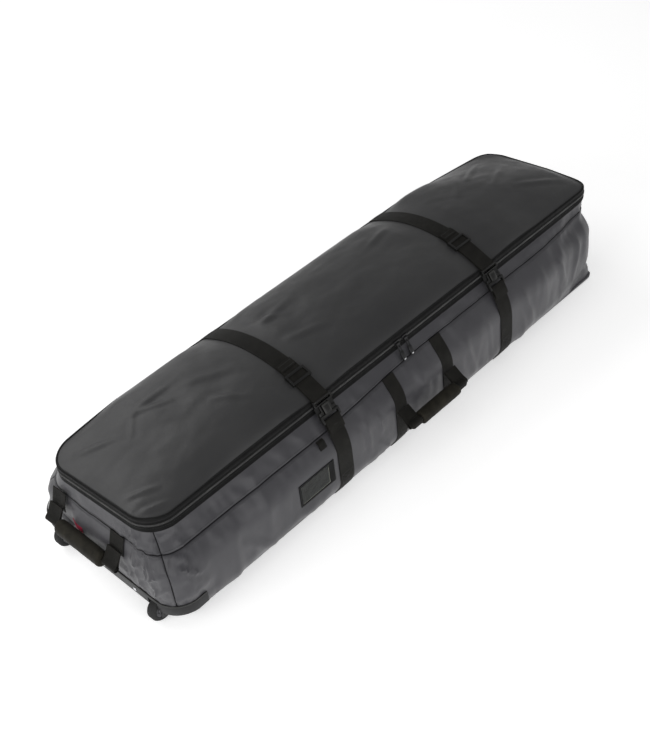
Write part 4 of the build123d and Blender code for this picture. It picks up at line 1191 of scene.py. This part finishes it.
def bar_loop(x, along, turn, count=9):
    """Half a turn of webbing round a buckle's bar."""
    points = []
    for k in range(count):
        a = pi * k / (count - 1)
        points.append(on_run(x, along + turn * LOOP * sin(a), MIDDLE - LOOP * cos(a)))
    return points


wall_line = [(-belly_half_width, BELLY_HIGH), (-belly_half_width, BELLY_LOW),
             (-base_half_width - 0.0056, 0.008)]
for label, x in strap_places.items():
    glide_low, glide_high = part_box(label + "_strap_triglide")
    glide_y = (glide_low.y + glide_high.y) / 2
    path = [(x, HALF_WIDTH + 0.0016, ZIP_HEIGHT + 0.012), (x, HALF_WIDTH + 0.0016, LID_EDGE + 0.0004)]
    path += over_crown(x, HALF_WIDTH - 0.003, -HALF_WIDTH + 0.024, 0.0016, 60)
    path += [on_run(x, BAR - 0.004, MIDDLE - LOOP)] + bar_loop(x, BAR, 1)
    path += [on_run(x, BAR - 0.004, MIDDLE + LOOP)]
    path += over_crown(x, -HALF_WIDTH + 0.024, glide_y + 0.048, 0.0052, 30)
    webbing(label + "_lid_webbing_strip", path, (STRAP_WIDTH,) * 2, (1, 0, 0), "lid", bend=0.003,
            nodes=(label + "_strap_lid_webbing",))
    tail = over_crown(x, glide_y + 0.026, glide_y + 0.0475, 0.0072, 8)
    webbing(label + "_folded_tail", tail, (STRAP_WIDTH - 0.001,) * 2, (1, 0, 0), "lid", 0.0014, 0.002)
    bar_low = BUCKLE_LENGTH - BAR
    path = [on_run(x, bar_low + 0.034, MIDDLE - LOOP + 0.0028), on_run(x, bar_low + 0.020, MIDDLE + LOOP)]
    path += bar_loop(x, bar_low, -1)[::-1]
    path += eased([on_run(x, bar_low + 0.004, MIDDLE - LOOP)]
                  + [(x, y - 0.0016, z) for y, z in wall_line], 0.035)
    webbing(label + "_front_webbing", path, (STRAP_WIDTH,) * 2, (1, 0, 0), "base", bend=0.003,
            nodes=(label + "_strap_wall_webbing",))
    path = [(x, HALF_WIDTH + 0.0016, ZIP_HEIGHT - 0.012), (x, HALF_WIDTH + 0.0016, GUSSET_TOP)]
    path = eased(path + [(x, 0.0016 - y, z) for y, z in wall_line], 0.02)
    webbing(label + "_rear_webbing", path, (STRAP_WIDTH,) * 2, (1, 0, 0), "base", bend=0.003)
    joint = [(x, HALF_WIDTH + 0.0018, z) for z in (ZIP_HEIGHT - 0.0135, ZIP_HEIGHT, ZIP_HEIGHT + 0.0135)]
    crossing = webbing(label + "_hinge_webbing", joint, (STRAP_WIDTH - 0.0004,) * 2, (1, 0, 0), None,
                       step=0.0012)
    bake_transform(crossing)
    moulds = ("male_buckle", "female_buckle", "triglide")
    for part in moulds:
        softened(label + "_strap_" + part, 0.0007, "buckle_plastic", buckle_plastic)
    for hand in ("left", "right"):
        softened(label + "_strap_" + hand + "_latch", 0.0009, "buckle_plastic", buckle_plastic)
    cover = rounded_block(label + "_buckle_cover", on_run(x, 0.0305, 0.0101), (0.0205, 0.0285, 0.0018),
                          0.0007, run_axes)
    dress(cover, "base", "buckle_plastic", buckle_grey)
    lip = rounded_block(label + "_buckle_lip", on_run(x, 0.0026, 0.0108), (0.050, 0.0034, 0.0016),
                        0.0006, run_axes)
    dress(lip, "lid", "buckle_plastic", buckle_plastic)
    inset_panel = rounded_block(label + "_buckle_badge", on_run(x, 0.0305, 0.01085),
                                (0.0140, 0.0190, 0.0012), 0.0005, run_axes)
    dress(inset_panel, "base", "buckle_plastic", buckle_plastic)
    print(label, "strap made at", round(x, 3))

# %% [markdown]
# A box of stitches with a cross in it holds each folded end. A line of short
# threads is laid from point to point on the webbing's face.

# %% Stitches on the webbing


def thread_line(start, end, normal, step=0.0042):
    """Places for stitches along a straight line."""
    start, end, normal = (np.array(v, float) for v in (start, end, normal))
    length = np.linalg.norm(end - start)
    count = max(int(length / step), 2)
    tangent = (end - start) / length
    side = np.cross(normal, tangent)
    return [(start + (end - start) * (k + 0.5) / count, tangent, side, normal) for k in range(count)]


def cross_box(place, width, height, normal, cross=True):
    """A rectangle of stitches, with its diagonals; place gives a point for (u, v)."""
    corners = [place(-width / 2, 0), place(width / 2, 0), place(width / 2, height),
               place(-width / 2, height)]
    rows = []
    for a, b in ((0, 1), (1, 2), (2, 3), (3, 0)) + (((0, 2), (1, 3)) if cross else ()):
        rows += thread_line(corners[a], corners[b], normal)
    return rows


front_normal = (0.0, -1.0, 0.0)
base_rows = []
for x in strap_places.values():
    face = -belly_half_width - 0.0028
    base_rows += cross_box(lambda u, v: (x + u, face, 0.056 + v), 0.036, 0.030, front_normal)
    base_rows += cross_box(lambda u, v: (x + u, -face, 0.056 + v), 0.036, 0.030, (0, 1, 0))
    run_normal = (0.0, *out)
    base_rows += thread_line(on_run(x - 0.019, 0.0715, MIDDLE + LOOP + 0.0004),
                             on_run(x + 0.019, 0.0715, MIDDLE + LOOP + 0.0004), run_normal)
stitches("strap_stitches", base_rows, "base")
lid_rows = []
for label, x in strap_places.items():
    low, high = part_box(label + "_strap_triglide")
    y = (low.y + high.y) / 2 + 0.030
    for step in (0.0, 0.012):
        spot = over_crown(x, y + step, y + step, 0.0081, 1)[0]
        normal = np.array((0, spot[1], spot[2] - CROWN_CENTRE)) / CROWN_RADIUS
        lid_rows += thread_line((x - 0.019, *spot[1:]), (x + 0.019, *spot[1:]), normal)
stitches("tail_stitches", lid_rows, "lid")
print("strap stitches", len(base_rows) + len(lid_rows))

# %% [markdown]
# The rear edge has no zip over most of its length. One strip of cloth is sewn
# to the base and to the lid there.

# %% Hinge cloth
hinge, across, rise = flat_grid("rear_hinge_cloth", 220, 16, (1.14, 0.03))
hinge_z = GUSSET_TOP - 0.0022 + rise * (LID_EDGE - GUSSET_TOP + 0.0036)
hinge_x = (across - 0.5) * 2 * HINGE_END
pucker = 0.0004 * cloud(np.stack([hinge_x, 0 * hinge_x, hinge_z], axis=1), (0.03, 0.1, 0.012), 41)
hinge_points = np.stack([-hinge_x, HALF_WIDTH + 0.0002 + pucker * np.sin(pi * rise), hinge_z], axis=1)
set_points(hinge, hinge_points + settle(hinge_points))
modify(hinge, "SOLIDIFY", thickness=0.0011, offset=-1)
dress(hinge, None, "zip_tape", tape_cloth, "rear_hinge_tape")
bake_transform(hinge)
print("hinge cloth", len(hinge.data.polygons), "faces")

# %% [markdown]
# The zip's sliders and pulls are cast metal. Each slider keeps its shape from
# the frame with rounded edges, and each pull gets a short bright steel tip.

# %% Zip sliders, pulls and stops
for hand in ("left", "right"):
    softened(hand + "_zip_slider", 0.0006, "zip_metal", dark_metal)
    softened(hand + "_zip_pull", 0.0005, "zip_metal", dark_metal)
stops = softened("zip_end_stops", 0.0004, "zip_metal", dark_metal)
set_points(stops, get_points(stops) + settle(get_points(stops)))
for hand in ("left", "right"):
    low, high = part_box(hand + "_zip_pull")
    tip = rounded_block(hand + "_pull_tip", ((low.x + high.x) / 2, low.y + 0.0012, low.z + 0.0040),
                        (0.0060, 0.0022, 0.0050), 0.0009)
    dress(tip, hand + "_zip_pull", "zip_metal", bright_steel)
print("zip hardware made")

# %% [markdown]
# Handles. Webbing comes down from each hinge line, turns round the core and
# goes back up. The sleeve of the grip is padded cloth: it starts as a rounded
# bar, is remeshed, and a short cloth simulation with a little pressure fills
# it out. How far a point may move is capped, so it stays clear of its core.

# %% Padded grips


def padded_grip(name, node, body, axis, ribs):
    """A stuffed sleeve round a handle's core."""
    low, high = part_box(node)
    middle, size = (low + high) / 2, high - low
    deselect()
    bpy.ops.mesh.primitive_cylinder_add(vertices=24, radius=0.5, depth=1)
    piece = named(name)
    points = get_points(piece)
    if axis == 0:
        points = points[:, (2, 1, 0)] * (size.x - 0.004, size.y - 0.002, size.z - 0.002)
    else:
        points = points[:, (0, 2, 1)] * (size.x - 0.002, size.y - 0.004, size.z - 0.002)
    set_points(piece, points + np.array(middle))
    modify(piece, "REMESH", mode="VOXEL", voxel_size=0.0035)
    start = get_points(piece)
    make_active(piece)
    cloth = piece.modifiers.new("cloth", "CLOTH")
    cloth.settings.quality = 4
    cloth.settings.use_pressure = True
    cloth.settings.uniform_pressure_force = 4
    cloth.settings.effector_weights.gravity = 0
    cloth.settings.shrink_min = -0.03
    bpy.context.scene.frame_set(1)
    for number in range(1, 21):
        bpy.context.scene.frame_set(number)
        bpy.context.view_layer.update()
    bpy.ops.object.modifier_apply(modifier=cloth.name)
    bpy.context.scene.frame_set(1)
    moved = get_points(piece) - start
    length = np.linalg.norm(moved, axis=1)[:, None]
    moved *= np.minimum(1, 0.0012 / np.maximum(length, 1e-9))
    points = start + moved
    along = points[:, axis] - middle[axis]
    away = points - np.array(middle)
    away[:, axis] = 0
    distance = np.linalg.norm(away, axis=1)[:, None]
    away = away / np.maximum(distance, 1e-6)
    squeeze = -0.0007 * (0.5 + 0.5 * np.cos(2 * np.pi * along / 0.011)) if ribs else 0 * along
    wrinkle = 0.0005 * cloud(points, (0.02, 0.012, 0.012), 51)
    ends = np.clip((size[axis] / 2 - np.abs(along)) / 0.006, 0, 1)
    points = points + away * ((squeeze + wrinkle) * ends)[:, None]
    set_points(piece, points)
    modify(piece, "SUBSURF", levels=1, render_levels=1)
    dress(piece, body, "grip_cloth", grip_cloth, node)
    return piece


carry = padded_grip("carry_grip_sleeve", "carry_grip", "carry_handle", 0, False)
wheel_end = padded_grip("wheel_end_grip_sleeve", "wheel_end_grip", "wheel_end_handle", 1, False)
print("grips", len(carry.data.polygons), len(wheel_end.data.polygons), "faces")

# %% Handle webbing


def handle_strap(name, hinge_point, grip_point, widths, side, body, nodes=()):
    """Webbing from a hinge line down round the core and back up again."""
    hinge_point, grip_point = np.array(hinge_point, float), np.array(grip_point, float)
    lead = (grip_point - hinge_point) / np.linalg.norm(grip_point - hinge_point)
    flank = np.cross(np.array(side, float), lead)
    radius = 0.0062
    path = [hinge_point + flank * 0.0012, hinge_point + lead * 0.014 + flank * 0.0014,
            grip_point - lead * 0.012 + flank * 0.0022]
    for k in range(13):
        a = pi * k / 12
        path.append(grip_point + flank * radius * cos(a) + lead * radius * sin(a))
    path += [grip_point - lead * 0.012 - flank * 0.0022, hinge_point + lead * 0.014 - flank * 0.0014,
             hinge_point - flank * 0.0012]
    return webbing(name, path, widths, side, body, bend=0.003, nodes=nodes)


carry_low, carry_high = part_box("carry_handle")
grip_low, grip_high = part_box("carry_grip")
CARRY_WIDTH = 0.038
carry_hinge = (carry_high.y - 0.0012, carry_high.z - 0.0012)
carry_axis = ((grip_low.y + grip_high.y) / 2, (grip_low.z + grip_high.z) / 2)
carry_places = (carry_low.x + CARRY_WIDTH / 2, carry_high.x - CARRY_WIDTH / 2)
for number, x in enumerate(carry_places):
    handle_strap("carry_strap_%d" % number, (x, *carry_hinge), (x, *carry_axis),
                 (CARRY_WIDTH, CARRY_WIDTH), (1, 0, 0), "carry_handle",
                 ("carry_handle",) if number == 0 else ())
    top = SEAM + float(seam_rise(x))
    top_y = -float(section(np.array(top), HALF_WIDTHS))
    path = eased([(x, y - 0.0016, z) for y, z in [(top_y, top)] + wall_line], 0.03)
    webbing("carry_webbing_%d" % number, path, (CARRY_WIDTH,) * 2, (1, 0, 0), "base", bend=0.003,
            nodes=("carry_webbings",) if number == 0 else ())
for number, (start, end) in enumerate(((carry_low.x + 0.004, grip_low.x + 0.003),
                                       (grip_high.x - 0.003, carry_high.x - 0.004))):
    core = rounded_block("carry_core_%d" % number, ((start + end) / 2, *carry_axis),
                         (end - start, 0.022, 0.022), 0.008, segments=4)
    dress(core, "carry_handle", "webbing", webbing_cloth)
for label, direction, names in (("wheel_end", -1, ("wheel_end_handle",)),
                                ("head_end", 1, ("head_end_handle",))):
    low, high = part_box(label + "_handle")
    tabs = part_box("handle_anchors")
    width = 0.046
    hinge_x = (high.x - 0.0012) if direction < 0 else (low.x + 0.0012)
    hinge_z = high.z - 0.0008
    core_x = (low.x + 0.0049) if direction < 0 else (high.x - 0.0049)
    core_z = low.z + 0.0049
    for number, y in enumerate((low.y + width / 2, high.y - width / 2)):
        handle_strap(label + "_strap_%d" % number, (hinge_x, y, hinge_z), (core_x, y, core_z),
                     (width, width - 0.004), (0, 1, 0), label + "_handle",
                     names if number == 0 else ())
        face = -wheel_reach - 0.0016 if direction < 0 else head_reach + 0.0016
        top = SEAM + float(seam_rise(direction))
        slope = (abs(face) - HALF_LENGTH) * (top - BELLY_HIGH) / (GUSSET_TOP - BELLY_HIGH)
        path = eased([(face - direction * slope, y, top), (face, y, BELLY_HIGH),
                      (face, y, hinge_z - 0.014)], 0.02)
        webbing(label + "_anchor_%d" % number, path, (width,) * 2, (0, 1, 0), "base", bend=0.003,
                nodes=("handle_anchors",) if (direction < 0 and number == 0) else ())
    bar = rounded_block(label + "_core", (core_x, (low.y + high.y) / 2, core_z),
                        (0.0096, high.y - low.y - 0.006, 0.0096), 0.003)
    dress(bar, label + "_handle", "webbing", webbing_cloth)
print("handles made")

# %% [markdown]
# The card window: a border of tape round a card under clear film, sewn flat
# on the wall.

# %% Card window and label
window_low, window_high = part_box("card_window_frame")
card_low, card_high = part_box("card")
softened("card_window_frame", 0.0006, "window_border", tape_cloth)
softened("card", 0.0002, "card", card_paper, 1)
softened("card_window_pane", 0.0002, "pane", clear_film, 1)
window_rows = []
inset, y = 0.0022, window_low.y - 0.0002
corners = [(window_low.x + inset, y, window_low.z + inset), (window_high.x - inset, y, window_low.z + inset),
           (window_high.x - inset, y, window_high.z - inset), (window_low.x + inset, y, window_high.z - inset)]
for k in range(4):
    window_rows += thread_line(corners[k], corners[(k + 1) % 4], front_normal)
stitches("window_stitches", window_rows, "base")


def end_share(y, z):
    """The share along the wheel end's side for a place Y."""
    arc = CORNER_SHARE[1]
    half = section(z, HALF_WIDTHS) - section(z, RADII)
    return arc + (half - y) / (2 * half) * (1 - 2 * arc)


label_piece, across, rise = flat_grid("end_label", 16, 10, (0.046, 0.022))
label_z = 0.122 + rise * 0.034
points, normal = on_wall(3, end_share(0.092 - across * 0.048, label_z), label_z, 0.0012)
set_points(label_piece, points)
modify(label_piece, "SOLIDIFY", thickness=0.0008, offset=-1)
dress(label_piece, "base", "shell_cloth", label_cloth)
tab_path = [(-0.3285, -0.2245, 0.207), (-0.3285, -0.2320, 0.205), (-0.3285, -0.2390, 0.190),
            (-0.3285, -0.2375, 0.186), (-0.3285, -0.2330, 0.196)]
webbing("side_tab", tab_path, (0.020, 0.020), (1, 0, 0), "base", 0.0014, 0.002, 0.002)
print("window and label made")

# %% [markdown]
# The wheel end stands on a moulded tray with a well for each wheel. A cord of
# piping covers its upper edge and three rivets hold it. Each wheel has a
# rubber tyre with a shallow tread, a spoked hub and two bearings.

# %% Tray, piping and rivets
softened("wheel_tray", 0.0008, "tray_plastic", tray_plastic)
tray_low, tray_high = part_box("wheel_tray")


piping_line = []
for side, start, end in ((2, 0.5, 1.0), (3, 0.0, 1.0), (0, 0.0, 0.5)):
    share = np.linspace(start, end, 400, endpoint=False)
    x, y, angle = outline(side, share, np.full(400, tray_high.z))
    keep = x < tray_high.x - 0.001
    piping_line.append(np.stack([x + np.cos(angle) * 0.0024, y + np.sin(angle) * 0.0024,
                                 np.full(400, tray_high.z + 0.0006)], axis=1)[keep])
piping_line, _ = rounded(np.concatenate(piping_line), 0.002, 0.004)
piping = tube("tray_piping", piping_line, 0.0019)
dress(piping, "base", "tray_plastic", buckle_grey)
rivet_low, rivet_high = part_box("tray_rivets")
domes = []
for y in (rivet_low.y + 0.005, 0.0, rivet_high.y - 0.005):
    deselect()
    bpy.ops.mesh.primitive_uv_sphere_add(segments=24, ring_count=12, radius=1)
    dome = named("dome")
    set_points(dome, get_points(dome)[:, (2, 1, 0)] * (0.0024, 0.005, 0.005)
               + np.array((rivet_high.x - 0.0004, y, (rivet_low.z + rivet_high.z) / 2)))
    domes.append(dome)
dress(join(domes, "rivet_domes"), "base", "steel", bright_steel, "tray_rivets")
print("tray made")

# %% Wheels
for hand in ("front", "rear"):
    body = hand + "_wheel"
    low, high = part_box(hand + "_wheel_tyre")
    middle, radius = (low + high) / 2, (high.z - low.z) / 2
    half = (high.y - low.y) / 2
    softened(hand + "_wheel_tyre", 0.0006, "tyre", tyre_rubber, 1)
    softened(hand + "_wheel_hub", 0.0005, "hub", hub_plastic, 1)
    softened(hand + "_wheel_bearings", 0.0004, "steel", bright_steel, 1)
    lugs, spokes = [], []
    for k in range(44):
        a = 2 * pi * k / 44
        arm, along = np.array((cos(a), 0, sin(a))), np.array((-sin(a), 0, cos(a)))
        for shift in (-0.0045, 0.0045):
            lugs.append((np.array(middle) + arm * (radius - 0.0003) + np.array((0, shift, 0)), along,
                         (0, 1, 0), arm))
    tread = repeated(chip("lug", 0.0026, 0.0066, 0.0012, 0.0003), lugs, body + "_tread")
    dress(tread, body, "tyre", tyre_rubber)
    for side in (-1, 1):
        for k in range(6):
            a = 2 * pi * k / 6
            arm, along = np.array((cos(a), 0, sin(a))), np.array((-sin(a), 0, cos(a)))
            spokes.append((np.array(middle) + arm * 0.0156 + np.array((0, side * (half - 0.0007), 0)),
                           arm, (0, 1, 0), along))
    ribs = repeated(chip("spoke", 0.0080, 0.0016, 0.0028, 0.0004), spokes, body + "_spokes")
    dress(ribs, body, "hub", hub_plastic)
softened("wheel_axles", 0.0008, "steel", dark_metal)
print("wheels made")

# %% Sizes of the finished box, and finish
low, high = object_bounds()
print("visual box", [round(v, 3) for v in (*low, *high)])
